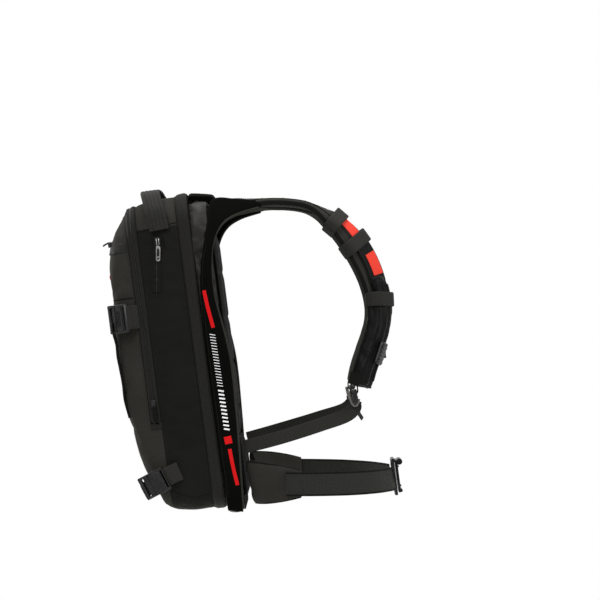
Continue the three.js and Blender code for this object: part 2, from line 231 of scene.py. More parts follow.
def cloth_material(name, dark, light, thread=0.0008, sheen=0.015, rough=(0.7, 0.9), bump=0.35, gloss=0.03):
    """Plain-woven cloth: a fine two-way weave, slow colour variation and a soft sheen."""
    n = Nodes(name)
    place = n.coordinates(1.0)
    repeat = 1.0 / (thread * 2 * math.pi * 2)
    across = n.wave(place, repeat, "DIAGONAL", 0.4)
    along = n.wave(place, repeat, "Z", 0.4)
    weave = n.math("MULTIPLY", across, along)
    broad = n.noise(place, 9.0, 4.0)
    fine = n.noise(place, 900.0, 2.0)
    mixed = n.math("ADD", n.math("MULTIPLY", broad, 0.65), n.math("MULTIPLY", fine, 0.35))
    n.link(n.ramp(mixed, [(0.3, dark), (0.72, light)]), n.shader.inputs["Base Color"])
    n.roughness(broad, *rough)
    n.bump(n.math("ADD", weave, n.math("MULTIPLY", fine, 0.5)), bump, 0.0004)
    n.shader.inputs["Sheen Weight"].default_value = sheen
    n.shader.inputs["Sheen Roughness"].default_value = 0.45
    n.shader.inputs["Sheen Tint"].default_value = (0.5, 0.48, 0.44, 1)
    n.shader.inputs["Specular IOR Level"].default_value = gloss
    return n.material


def webbing_material(name, dark, light, rib=0.0011):
    """Ribbed webbing: ribs run across the strip, whose UVs are in metres along and across it."""
    n = Nodes(name)
    strip = n.uv((1.0, 1.0, 1.0))
    ribs = n.wave(strip, 1.0 / (rib * 2 * math.pi), "X")
    rows = n.wave(strip, 1.0 / (rib * 2.6 * 2 * math.pi), "Y")
    fine = n.noise(n.coordinates(1.0), 700.0)
    height = n.math("ADD", ribs, n.math("MULTIPLY", rows, 0.45))
    shade = n.math("ADD", n.math("MULTIPLY", ribs, 0.4), n.math("MULTIPLY", fine, 0.6))
    n.link(n.ramp(shade, [(0.25, dark), (0.8, light)]), n.shader.inputs["Base Color"])
    n.roughness(fine, 0.55, 0.8)
    n.bump(height, 0.5, 0.0005)
    n.shader.inputs["Sheen Weight"].default_value = 0.01
    n.shader.inputs["Specular IOR Level"].default_value = 0.05
    return n.material


def hard_material(name, dark, light, metallic, rough, grain=1200.0, bump=0.12):
    """Moulded or cast pieces: fine grain, uneven gloss and lighter, rubbed patches."""
    n = Nodes(name)
    place = n.coordinates(1.0)
    grainy = n.noise(place, grain, 2.0)
    rubbed = n.noise(place, 60.0, 5.0, 0.65)
    n.link(n.ramp(rubbed, [(0.42, dark), (0.7, light)]), n.shader.inputs["Base Color"])
    n.roughness(rubbed, *rough)
    n.bump(grainy, bump, 0.0002)
    n.shader.inputs["Metallic"].default_value = metallic
    n.shader.inputs["Specular IOR Level"].default_value = 0.22
    return n.material


MATERIALS = {
    "fabric": cloth_material("pack_cloth", (0.0104, 0.0100, 0.0085), (0.0180, 0.0174, 0.0147)),
    "panel": cloth_material("side_cloth", (0.0034, 0.0034, 0.0028), (0.0062, 0.0061, 0.0051)),
    "harness": cloth_material("harness_cloth", (0.0010, 0.0011, 0.0009), (0.0024, 0.0025, 0.0022),
                              sheen=0.002, gloss=0.008),
    "nylon": cloth_material("light_nylon", (0.0066, 0.0064, 0.0056), (0.0150, 0.0145, 0.0126), 0.0006, 0.05,
                            (0.42, 0.6), 0.2, 0.07),
    "sleeve": cloth_material("pouch_nylon", (0.0012, 0.0012, 0.0012), (0.0030, 0.0030, 0.0029), 0.0006, 0.015,
                             (0.36, 0.55), 0.2, 0.045),
    "foam": cloth_material("spacer_mesh", (0.0018, 0.0018, 0.0017), (0.0042, 0.0042, 0.0040), 0.0026, 0.01,
                           (0.7, 0.9), 0.8),
    "webbing": webbing_material("strap_webbing", (0.0064, 0.0062, 0.0054), (0.0150, 0.0146, 0.0126)),
    "light_webbing": webbing_material("hip_webbing", (0.0066, 0.0066, 0.0058), (0.0160, 0.0157, 0.0138)),
    "red": cloth_material("red_tape", (0.27, 0.0026, 0.0036), (0.35, 0.0050, 0.0062), 0.0007, 0.03,
                          (0.5, 0.7)),
    "strap_red": cloth_material("strap_red_tape", (0.37, 0.023, 0.014), (0.45, 0.033, 0.021), 0.0007, 0.03,
                                (0.5, 0.7)),
    "airbag": cloth_material("airbag_cloth", (0.30, 0.045, 0.011), (0.42, 0.070, 0.018), 0.0006, 0.1,
                             (0.5, 0.7)),
    "plastic": hard_material("black_plastic", (0.0022, 0.0022, 0.0022), (0.0060, 0.0060, 0.0060), 0.0,
                             (0.28, 0.5)),
    "housing": hard_material("blower_plastic", (0.012, 0.013, 0.016), (0.022, 0.024, 0.028), 0.0,
                             (0.35, 0.55)),
    "metal": hard_material("satin_metal", (0.14, 0.14, 0.135), (0.30, 0.30, 0.285), 1.0, (0.25, 0.45)),
    "dark_metal": hard_material("black_metal", (0.006, 0.006, 0.006), (0.020, 0.020, 0.020), 0.7,
                                (0.28, 0.45)),
    "tape": webbing_material("zip_tape", (0.0040, 0.0039, 0.0033), (0.0105, 0.0102, 0.0086), 0.0009),
    "binding": cloth_material("bound_edge", (0.0024, 0.0024, 0.0021), (0.0050, 0.0049, 0.0043), 0.0005),
    # painted highlight: this pale colour on the turned webbing at the ladder-locks stands for the light the
    # fold catches; the webbing is the same dark strap
    "webbing_fold_highlight": webbing_material("webbing_fold_highlight", (0.05, 0.049, 0.044), (0.11, 0.107, 0.098)),
    "coil": hard_material("zip_coil", (0.0018, 0.0018, 0.0018), (0.0045, 0.0045, 0.0045), 0.0, (0.35, 0.5)),
    "reflective": cloth_material("reflective_print", (0.38, 0.38, 0.38), (0.54, 0.54, 0.54), 0.0004, 0.03,
                                 (0.4, 0.5)),
    "brushed_metal": hard_material("brushed_metal", (0.10, 0.10, 0.095), (0.20, 0.20, 0.19), 1.0,
                                   (0.35, 0.55)),
    "red_plastic": hard_material("red_plastic", (0.30, 0.006, 0.005), (0.40, 0.012, 0.010), 0.0, (0.3, 0.45)),
    "thread": cloth_material("thread", (0.0095, 0.0090, 0.0080), (0.0170, 0.0162, 0.0144), 0.0004),
}


# ---------------------------------------------------------------- making and attaching pieces

def finish_piece(obj, body, look, replaced=(), smooth=True):
    """Gives a piece its material and slot, the body it rides and the nodes it stands for."""
    obj.data.materials.clear()
    obj.data.materials.append(MATERIALS[look])
    if smooth:
        obj.data.shade_smooth()
    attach(obj, body)
    if replaced:
        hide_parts(*replaced)
    return obj


def mesh_object(name, vertices, faces):
    """An object from vertices and faces, linked into the scene."""
    mesh = bpy.data.meshes.new(name)
    mesh.from_pydata([tuple(v) for v in vertices], [], [tuple(f) for f in faces])
    mesh.validate()
    obj = bpy.data.objects.new(name, mesh)
    bpy.context.scene.collection.objects.link(obj)
    return obj


def apply_modifiers(obj):
    """Replaces the mesh by its modified form and takes the modifiers off."""
    graph = bpy.context.evaluated_depsgraph_get()
    mesh = bpy.data.meshes.new_from_object(obj.evaluated_get(graph))
    obj.modifiers.clear()
    obj.data = mesh
    return obj


def coordinates(mesh):
    """The mesh's points as an array."""
    flat = np.empty(len(mesh.vertices) * 3)
    mesh.vertices.foreach_get("co", flat)
    return flat.reshape(-1, 3)


def set_coordinates(mesh, points):
    """Moves the mesh's points to those in an array."""
    mesh.vertices.foreach_set("co", points.ravel())
    mesh.update()


def bevelled(node, body, look, width=0.8, segments=3):
    """A CAD node's own shape with softened edges, standing for that node."""
    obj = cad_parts[node].copy()
    obj.data = obj.data.copy()
    obj.name = node + "_moulded"
    obj.parent = None
    for key in list(obj.keys()):
        del obj[key]
    bpy.context.scene.collection.objects.link(obj)
    weld = obj.modifiers.new("weld", "WELD")
    weld.merge_threshold = 1e-5
    bevel = obj.modifiers.new("bevel", "BEVEL")
    bevel.width = width * MM
    bevel.segments = segments
    bevel.limit_method = "ANGLE"
    bevel.angle_limit = math.radians(35)
    apply_modifiers(obj)
    finish_piece(obj, body, look, (node,), smooth=False)
    obj.data.shade_smooth()
    obj.data.set_sharp_from_angle(angle=math.radians(40))
    return obj


# ---------------------------------------------------------------- the bag's skin

LOW, HIGH = 0, 1
FRONT_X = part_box("front_panel")[LOW][0]
SEAM_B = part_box("front_panel")[HIGH][0]
ZIP_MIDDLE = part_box("front_zip_tape")[HIGH][0]
SEAM_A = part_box("main_zip_tape")[HIGH][0]
SEAM_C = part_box("main_shell")[HIGH][0]
SEAM_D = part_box("rear_zip_band")[HIGH][0]
FOLD_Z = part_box("front_panel")[LOW][2]
CORNER = 0.048

# depth, half the width, lowest and highest point of the bag at that depth
BAG = np.array([
    (-0.177, 0.112, -0.060, 0.172), (-0.174, 0.122, -0.100, 0.186), (-0.163, 0.131, -0.158, 0.218),
    (-0.138, 0.139, -0.228, 0.255), (-0.125, 0.142, -0.238, 0.259), (-0.090, 0.145, -0.243, 0.263),
    (-0.038, 0.145, -0.244, 0.269),
])


def bag_section(x, grow=0.0):
    """The bag's half width, foot and top at a depth x, grown outwards by grow."""
    half, low, high = (np.interp(x, BAG[:, 0], BAG[:, i]) for i in (1, 2, 3))
    return half + grow, low - grow, high + grow


def ring(half, low, high, radius, count):
    """Points round a rounded rectangle in y and z, evenly spaced, from the middle of its foot."""
    radius = min(radius, half * 0.98, (high - low) * 0.49)
    flat_y, flat_z = half - radius, (high - low) / 2 - radius
    arc = math.pi / 2 * radius
    lengths = [flat_y, arc, 2 * flat_z, arc, 2 * flat_y, arc, 2 * flat_z, arc, flat_y]
    ends = np.cumsum([0] + lengths)
    middle = (low + high) / 2
    corner = [(flat_y, -flat_z, -90), (flat_y, flat_z, 0), (-flat_y, flat_z, 90), (-flat_y, -flat_z, 180)]
    points = []
    for s in np.arange(count) / count * ends[-1]:
        k = min(int(np.searchsorted(ends, s, side="right")) - 1, 8)
        along = s - ends[k]
        if k % 2 == 1:
            cy, cz, start = corner[k // 2]
            angle = math.radians(start + 90 * along / arc)
            points.append((cy + radius * math.cos(angle), cz + radius * math.sin(angle)))
        else:
            points.append([(along, -flat_z - radius), (half, -flat_z + along),
                           (flat_y - along, flat_z + radius), (-half, flat_z - along),
                           (-flat_y + along, -flat_z - radius)][k // 2])
    return [(y, z + middle) for y, z in points]


def ring_faces(rows, count):
    """The quads between rings of points that lie one after another in a list."""
    faces = []
    for i in range(rows - 1):
        for j in range(count):
            k = (j + 1) % count
            faces.append((i * count + j, i * count + k, (i + 1) * count + k, (i + 1) * count + j))
    return faces


def lofted(name, sections, count):
    """A closed solid through rings given as (x, half, low, high)."""
    vertices = []
    for x, half, low, high in sections:
        vertices += [(x, y, z) for y, z in ring(half, low, high, CORNER, count)]
    rows = len(sections)
    faces = ring_faces(rows, count)
    faces.append(tuple(range(count - 1, -1, -1)))
    faces.append(tuple((rows - 1) * count + j for j in range(count)))
    obj = mesh_object(name, vertices, faces)
    fix_normals(obj)
    return obj


def fix_normals(obj):
    """Turns every face outwards."""
    edit = bmesh.new()
    edit.from_mesh(obj.data)
    bmesh.ops.recalc_face_normals(edit, faces=edit.faces)
    edit.to_mesh(obj.data)
    edit.free()


def remesh(obj, size):
    """Rebuilds a closed mesh from even quads."""
    modifier = obj.modifiers.new("remesh", "REMESH")
    modifier.mode = "VOXEL"
    modifier.voxel_size = size
    return apply_modifiers(obj)


def inflate(obj, held, pressure, cap, slack=0.0, frames=20):
    """Cloth simulation: held vertices stay, the rest swell; no point moves further than cap."""
    rest = coordinates(obj.data)
    group = obj.vertex_groups.new(name="held")
    group.add([int(i) for i in np.flatnonzero(held)], 1.0, "REPLACE")
    cloth = obj.modifiers.new("cloth", "CLOTH")
    settings = cloth.settings
    settings.quality = 6
    settings.mass = 0.25
    settings.vertex_group_mass = "held"
    settings.use_pressure = True
    settings.uniform_pressure_force = pressure
    settings.shrink_min = -slack
    settings.tension_stiffness = 30
    settings.compression_stiffness = 20
    settings.bending_stiffness = 1.5
    settings.effector_weights.gravity = 0
    cloth.collision_settings.use_collision = False
    scene = bpy.context.scene
    for number in range(1, frames + 1):
        scene.frame_set(number)
    apply_modifiers(obj)
    moved = coordinates(obj.data) - rest
    length = np.maximum(np.linalg.norm(moved, axis=1, keepdims=True), 1e-9)
    set_coordinates(obj.data, rest + moved * np.minimum(1.0, cap / length))
    scene.frame_set(1)
    return obj


# ---------------------------------------------------------------- routes, strips and tubes

def mm(*points):
    """Points in millimetres, as vectors in metres."""
    return [Vector(p) * MM for p in points]


def smoothstep(t, low, high):
    """Rises smoothly from 0 to 1 between two values."""
    u = min(1.0, max(0.0, (t - low) / (high - low)))
    return u * u * (3 - 2 * u)


class Path:
    """A smooth centripetal curve through points, read by its share of the length."""

    def __init__(self, points):
        p = [points[0] * 2 - points[1], *points, points[-1] * 2 - points[-2]]
        self.dense = []
        for a, b, c, d in zip(p, p[1:], p[2:], p[3:]):
            knots = [0.0]
            for u, v in ((a, b), (b, c), (c, d)):
                knots.append(knots[-1] + max((v - u).length, 1e-9) ** 0.5)
            for k in range(24):
                self.dense.append(self.blend((a, b, c, d), knots, knots[1] + (knots[2] - knots[1]) * k / 24))
        self.dense.append(points[-1])
        steps = [(v - u).length for u, v in zip(self.dense, self.dense[1:])]
        self.lengths = np.concatenate([[0], np.cumsum(steps)])
        self.length = float(self.lengths[-1])

    @staticmethod
    def blend(points, knots, t):
        for level in (1, 2):
            shares = [(t - knots[i]) / (knots[i + level] - knots[i]) for i in range(4 - level)]
            points = [points[i] + (points[i + 1] - points[i]) * shares[i] for i in range(4 - level)]
        return points[0] + (points[1] - points[0]) * ((t - knots[1]) / (knots[2] - knots[1]))

    def at(self, t):
        s = min(1.0, max(0.0, t)) * self.length
        i = min(len(self.dense) - 2, max(0, int(np.searchsorted(self.lengths, s, side="right")) - 1))
        span = self.lengths[i + 1] - self.lengths[i]
        return self.dense[i].lerp(self.dense[i + 1], (s - self.lengths[i]) / span if span > 0 else 0)

    def forward(self, t):
        return (self.at(t + 0.004) - self.at(t - 0.004)).normalized()


def frame_at(path, t, across):
    """Place, forward, wide and up at a share of the path; up is forward x wide."""
    forward = path.forward(t)
    wide = Vector(across(t) if callable(across) else across)
    wide = (wide - forward * wide.dot(forward)).normalized()
    return path.at(t), forward, wide, forward.cross(wide)


def section(width, thick, top=None, bottom=None, power=5, count=14):
    """A flat rounded outline, x across from -1 to 1, with extra height above or below where given."""
    xs = [math.sin(math.pi / 2 * v) * 0.5 + v * 0.5 for v in np.linspace(-1, 1, count + 1)]
    points = []
    for x in xs:
        edge = max(0.0, 1 - abs(x) ** power) ** (1 / power)
        points.append((x * width / 2, edge * (thick / 2 + (top(x) if top else 0))))
    for x in xs[-2:0:-1]:
        edge = max(0.0, 1 - abs(x) ** power) ** (1 / power)
        points.append((x * width / 2, -edge * (thick / 2 + (bottom(x) if bottom else 0))))
    return points


def circle(radius, count=10):
    """Points round a circle, as pairs."""
    turns = np.arange(count) / count * 2 * math.pi
    return [(radius * math.cos(a), radius * math.sin(a)) for a in turns]


def ring_mesh(name, rings, closed=False):
    """A solid through rings of points, with its length and girth in metres as UVs."""
    rows, count = len(rings), len(rings[0])
    vertices = [p for r in rings for p in r]
    centres = [sum(r, Vector()) / count for r in rings]
    along, around = [0.0], [0.0]
    for i in range(rows):
        along.append(along[-1] + (centres[(i + 1) % rows] - centres[i]).length)
    for j in range(count):
        around.append(around[-1] + (rings[0][(j + 1) % count] - rings[0][j]).length)
    faces, uvs = [], []
    for i in range(rows if closed else rows - 1):
        n = (i + 1) % rows
        for j in range(count):
            k = (j + 1) % count
            faces.append((i * count + j, i * count + k, n * count + k, n * count + j))
            uvs += [(along[i], around[j]), (along[i], around[j + 1]),
                    (along[i + 1], around[j + 1]), (along[i + 1], around[j])]
    if not closed:
        for i in (0, rows - 1):
            faces.append([i * count + j for j in range(count)])
            uvs += [(along[i], around[j]) for j in range(count)]
    mesh = bpy.data.meshes.new(name)
    mesh.from_pydata([tuple(v) for v in vertices], [], [tuple(f) for f in faces])
    layer = mesh.uv_layers.new(name="UVMap")
    layer.data.foreach_set("uv", [c for uv in uvs for c in uv])
    obj = bpy.data.objects.new(name, mesh)
    bpy.context.scene.collection.objects.link(obj)
    fix_normals(obj)
    return obj


def swept(name, path, across, outline, steps=40, span=(0.0, 1.0), lift=0.0, aside=0.0):
    """A strip along a path. The outline, a list of points or a function of the share, is (wide, up)."""
    rings = []
    for i in range(steps + 1):
        t = span[0] + (span[1] - span[0]) * i / steps
        place, _, wide, up = frame_at(path, t, across)
        high = lift(t) if callable(lift) else lift
        side = aside(t) if callable(aside) else aside
        shape = outline(t) if callable(outline) else outline
        rings.append([place + wide * (a + side) + up * (b + high) for a, b in shape])
    return ring_mesh(name, rings)


def joined(name, parts):
    """Several meshes as one piece."""
    edit = bmesh.new()
    for part in parts:
        edit.from_mesh(part.data)
    mesh = bpy.data.meshes.new(name)
    edit.to_mesh(mesh)
    edit.free()
    for part in parts:
        bpy.data.objects.remove(part)
    obj = bpy.data.objects.new(name, mesh)
    bpy.context.scene.collection.objects.link(obj)
    return obj


def mirrored(obj, name):
    """A copy on the pack's other side."""
    copy = obj.copy()
    copy.data = obj.data.copy()
    copy.name = name
    copy.data.transform(Matrix.Scale(-1, 4, (0, 1, 0)))
    copy.data.flip_normals()
    bpy.context.scene.collection.objects.link(copy)
    return copy


def pair(obj, bodies, look, nodes=()):
    """A right-hand piece and its mirror image; nodes are CAD names without their side."""
    base = obj.name
    left = mirrored(obj, base + "_left")
    obj.name = base + "_right"
    for piece, body, side in ((obj, bodies[0], "right"), (left, bodies[1], "left")):
        soft_edges(finish_piece(piece, body, look, [f"{n}_{side}" for n in nodes]))
    return obj, left


def soft_edges(obj, angle=50):
    """Smooth shading with sharp edges kept."""
    obj.data.shade_smooth()
    obj.data.set_sharp_from_angle(angle=math.radians(angle))
    return obj


def single(obj, body, look, nodes=()):
    """A finished piece on one body."""
    soft_edges(finish_piece(obj, body, look, nodes))
    return obj


def bending(obj, look, nodes):
    """A webbing with its material and softened edges, baked in place, standing for the given nodes."""
    obj.data.materials.clear()
    obj.data.materials.append(MATERIALS[look])
    soft_edges(obj)
    for node in nodes:
        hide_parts(node)
    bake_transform(obj)
    return obj


def rumple(obj, depth, size, offset=0.0):
    """Moves each point along its normal by smooth noise, so that cloth isn't perfectly even."""
    for vertex in obj.data.vertices:
        spot = vertex.co / size + Vector((offset, offset, offset))
        vertex.co += vertex.normal * depth * noise.noise(spot)
    obj.data.update()
    return obj


def even(spots, pitch):
    """The same line of (place, normal) spots, a fixed distance apart."""
    lengths = np.concatenate([[0], np.cumsum([(b[0] - a[0]).length for a, b in zip(spots, spots[1:])])])
    result = []
    for s in np.arange(0, lengths[-1], pitch):
        i = min(len(spots) - 2, max(0, int(np.searchsorted(lengths, s, side="right")) - 1))
        u = (s - lengths[i]) / max(lengths[i + 1] - lengths[i], 1e-9)
        place = spots[i][0].lerp(spots[i + 1][0], u)
        normal = spots[i][1].lerp(spots[i + 1][1], u).normalized()
        result.append((place, normal))
    return result


def stitches(name, rows, body, pitch=3.4, width=0.45, look="thread"):
    """Rows of sewn stitches, each a small spindle of thread lying on the cloth."""
    vertices, faces = [], []
    for row in rows:
        spots = even(row, pitch * MM)
        for (place, normal), (following, _) in zip(spots, spots[1:]):
            run = (following - place) * 0.68
            side = run.cross(normal).normalized() * width * MM
            rise = normal * width * MM
            base = len(vertices)
            middle = place + run / 2
            vertices += [place, middle + side, middle + rise, middle - side, middle - rise, place + run]
            for a, b in ((1, 2), (2, 3), (3, 4), (4, 1)):
                faces += [(base, base + a, base + b), (base + 5, base + b, base + a)]
    obj = mesh_object(name, vertices, faces)
    fix_normals(obj)
    return finish_piece(obj, body, look)


def tube(name, spots, radius, closed=False, lift=0.0, count=8):
    """A round cord along (place, normal) spots, its middle lift above them."""
    rings = []
    last = len(spots) - 1
    for i, (place, normal) in enumerate(spots):
        before = spots[i - 1 if i or closed else 0][0]
        after = spots[(i + 1) % (last + 1) if closed else min(last, i + 1)][0]
        forward = (after - before).normalized()
        wide = forward.cross(normal).normalized()
        up = wide.cross(forward)
        rings.append([place + wide * a + up * (b + lift) for a, b in circle(radius, count)])
    return ring_mesh(name, rings, closed)


def plate(name, outlines, thick, place, x_axis, y_axis, bevel=0.4):
    """A flat plate from 2D outlines (the first outside, the rest holes), in the plane of two axes."""
    data = bpy.data.curves.new(name, "CURVE")
    data.dimensions = "2D"
    data.fill_mode = "BOTH"
    data.extrude = thick / 2 - bevel * MM
    data.bevel_depth = bevel * MM
    data.bevel_resolution = 2
    data.resolution_u = 3
    for outline in outlines:
        spline = data.splines.new("POLY")
        spline.points.add(len(outline) - 1)
        spline.points.foreach_set("co", [c for x, y in outline for c in (x, y, 0, 1)])
        spline.use_cyclic_u = True
    drawn = bpy.data.objects.new(name + "_curve", data)
    bpy.context.scene.collection.objects.link(drawn)
    mesh = bpy.data.meshes.new_from_object(drawn.evaluated_get(bpy.context.evaluated_depsgraph_get()))
    bpy.data.objects.remove(drawn)
    x = Vector(x_axis).normalized()
    z = x.cross(Vector(y_axis)).normalized()
    y = z.cross(x)
    mesh.transform(Matrix((x, y, z)).transposed().to_4x4())
    mesh.transform(Matrix.Translation(Vector(place)))
    obj = bpy.data.objects.new(name, mesh)
    bpy.context.scene.collection.objects.link(obj)
    return obj


def rounded_outline(width, height, radius, centre=(0, 0), steps=5):
    """A rounded rectangle's points, in metres."""
    points = []
    for quarter, (sx, sy) in enumerate(((1, 1), (-1, 1), (-1, -1), (1, -1))):
        cx, cy = sx * (width / 2 - radius), sy * (height / 2 - radius)
        for i in range(steps + 1):
            angle = (quarter + i / steps) * math.pi / 2
            x, y = cx + radius * math.cos(angle), cy + radius * math.sin(angle)
            points.append((centre[0] + x, centre[1] + y))
    return points


# ---------------------------------------------------------------- seams and panels cut from the skin

LEVEL_SEAM_Z = 0.111               # seam across the front panel
SIDE_SEAM_Z = 0.217                # seam across the top of each side


def bag_skin():
    """The whole bag as one skin, drawn in at its seams, before it is cut into panels."""
    inset = -0.002
    deep = [x for x in np.linspace(FRONT_X, SEAM_D, 26)]
    obj = lofted("bag_skin", [(x, *bag_section(x, inset)) for x in deep], 160)
    remesh(obj, 0.005)
    points = coordinates(obj.data)
    held = np.zeros(len(points), bool)
    for seam in (SEAM_B, ZIP_MIDDLE, SEAM_A, SEAM_C, SEAM_D):
        held |= np.abs(points[:, 0] - seam) < 0.0032
    side = np.abs(points[:, 1]) > 0.10
    front = points[:, 0] < SEAM_B
    held |= side & (np.abs(points[:, 2] - 0.217) < 0.003) & (points[:, 0] > SEAM_A)
    held |= front & (np.abs(points[:, 2] - 0.111) < 0.003)
    held |= front & (np.abs(points[:, 2] - FOLD_Z) < 0.003)
    inflate(obj, held, 2.5, 0.005, 0.01)
    return obj


def tree_of(obj):
    """A search tree of the mesh, for dropping points onto it."""
    edit = bmesh.new()
    edit.from_mesh(obj.data)
    tree = BVHTree.FromBMesh(edit)
    edit.free()
    return tree


def cut(source, name, planes, thick=1.6):
    """The part of the skin beyond every plane, given as (point, direction), with a cloth's thickness."""
    obj = source.copy()
    obj.data = source.data.copy()
    obj.name = name
    bpy.context.scene.collection.objects.link(obj)
    edit = bmesh.new()
    edit.from_mesh(obj.data)
    for point, direction in planes:
        geometry = edit.verts[:] + edit.edges[:] + edit.faces[:]
        bmesh.ops.bisect_plane(edit, geom=geometry, plane_co=point, plane_no=direction, clear_inner=True)
    edit.to_mesh(obj.data)
    edit.free()
    shell = obj.modifiers.new("shell", "SOLIDIFY")
    shell.thickness = thick * MM
    shell.offset = -1
    return apply_modifiers(obj)


def skin_ring(tree, x, low=None, count=320):
    """(place, normal) spots round the skin at one depth; with low, only the arch above that height."""
    outline = ring(*bag_section(x), CORNER, count)
    spots = []
    for i, (y, z) in enumerate(outline):
        ay, az = outline[i - 1]
        by, bz = outline[(i + 1) % count]
        normal = Vector((0, bz - az, ay - by)).normalized()
        if low is not None and z < low:
            continue
        hit, *_ = tree.ray_cast(Vector((x, y, z)) + normal * 0.03, -normal)
        spots.append((hit if hit else Vector((x, y, z)), normal))
    return spots


def skin_level(tree, z, most_x, count=150, hub=-0.11):
    """Spots round the front of the bag at one height, as far back as most_x."""
    spots = []
    for angle in np.linspace(math.radians(78), math.radians(282), count):
        direction = Vector((math.cos(angle), math.sin(angle), 0))
        hit, normal, *_ = tree.ray_cast(Vector((hub, 0, z)) + direction * 0.5, -direction)
        if hit and hit.x < most_x:
            spots.append((hit, normal))
    return spots


def side_line(tree, points, side=-1, count=40):
    """Spots on the bag's side along a line of (x, z) points in metres."""
    path = Path([Vector((x, 0, z)) for x, z in points])
    spots = []
    for t in np.linspace(0, 1, count):
        place = path.at(t)
        hit, normal, *_ = tree.ray_cast(Vector((place.x, side * 0.4, place.z)), Vector((0, -side, 0)))
        if hit:
            spots.append((hit, normal))
    return spots


def shifted(spots, along=0.0, out=0.0):
    """The same spots moved sideways on the cloth and outward, in millimetres."""
    result = []
    for i, (place, normal) in enumerate(spots):
        a, b = spots[max(0, i - 1)][0], spots[min(len(spots) - 1, i + 1)][0]
        side = (b - a).normalized().cross(normal).normalized()
        result.append((place + side * along * MM + normal * out * MM, normal))
    return result


def ribbon(name, spots, width, thick=1.6, lift=0.6, power=4):
    """A webbing or tape strip that follows spots on the cloth."""
    rings = []
    for i, (place, normal) in enumerate(spots):
        a, b = spots[max(0, i - 1)][0], spots[min(len(spots) - 1, i + 1)][0]
        wide = (b - a).normalized().cross(normal).normalized()
        rings.append([place + wide * p + normal * (q + lift * MM)
                      for p, q in section(width * MM, thick * MM, power=power)])
    return ring_mesh(name, rings)


def band(name, x0, x1, low=None, ribs=5, rise=2.4, rib=0.28, count=420):
    """One fabric band round the bag, lengthwise ribs on it, between two seams."""
    across = 8 * ribs
    outline = ring(*bag_section((x0 + x1) / 2), CORNER, count)
    normals = []
    for i in range(count):
        (ay, az), (by, bz) = outline[i - 1], outline[(i + 1) % count]
        normals.append(Vector((0, bz - az, ay - by)).normalized())
    sections = [ring(*bag_section(x), CORNER, count) for x in np.linspace(x0, x1, across + 1)]
    rings = []
    for j in range(count):
        if low is not None and sections[across // 2][j][1] < low:
            continue
        top, bottom = [], []
        for k in range(across + 1):
            u = k / across
            x = x0 + (x1 - x0) * u
            y, z = sections[k][j]
            height = -2.2 + rise * min(1, 4 * u, 4 * (1 - u)) ** 0.5 + rib * math.cos(2 * math.pi * ribs * u)
            top.append(Vector((x, y, z)) + normals[j] * height * MM)
            bottom.append(Vector((x, y, z)) - normals[j] * 3.4 * MM)
        rings.append(top + bottom[::-1])
    return ring_mesh(name, rings, closed=low is None)


def make_bag(skin):
    """The skin cut into its panels, with the gusset and the rear zip band over it."""
    tree = tree_of(skin)
    forward, backward, up, down = Vector((1, 0, 0)), Vector((-1, 0, 0)), Vector((0, 0, 1)), Vector((0, 0, -1))
    fold = Vector((0, 0, FOLD_Z))
    seam_b, seam_a = Vector((SEAM_B, 0, 0)), Vector((SEAM_A, 0, 0))
    seam_c = Vector((SEAM_C, 0, 0))
    front = cut(skin, "front_panel_cloth", [(seam_b, backward), (fold, up)])
    lower = cut(skin, "lower_front_cloth", [(seam_a, backward), (fold, down)])
    side = cut(skin, "side_cloth", [(seam_a, forward), (seam_c, backward)])
    finish_piece(lower, "pack", "fabric", ("front_lower",))
    finish_piece(side, "pack", "fabric", ("main_shell",))
    side.data.materials.append(MATERIALS["panel"])
    for face in side.data.polygons:
        on_side = abs(face.center.y) > 0.11 and face.center.z < SIDE_SEAM_Z
        face.material_index = 1 if on_side else 0
    front.data.materials.clear()
    front.data.materials.append(MATERIALS["fabric"])
    front.data.shade_smooth()
    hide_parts("front_panel")
    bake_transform(front)
    single(band("front_zip_band", SEAM_B, ZIP_MIDDLE, FOLD_Z + 0.001, 3), "front_flap", "tape",
           ("front_zip_tape",))
    single(band("main_zip_band", ZIP_MIDDLE, SEAM_A, FOLD_Z + 0.001, 3), "pack", "tape", ("main_zip_tape",))
    single(band("rear_zip_cover", SEAM_C, SEAM_D, None, 6, 3.0), "pack", "tape", ("rear_zip_band",))
    return tree


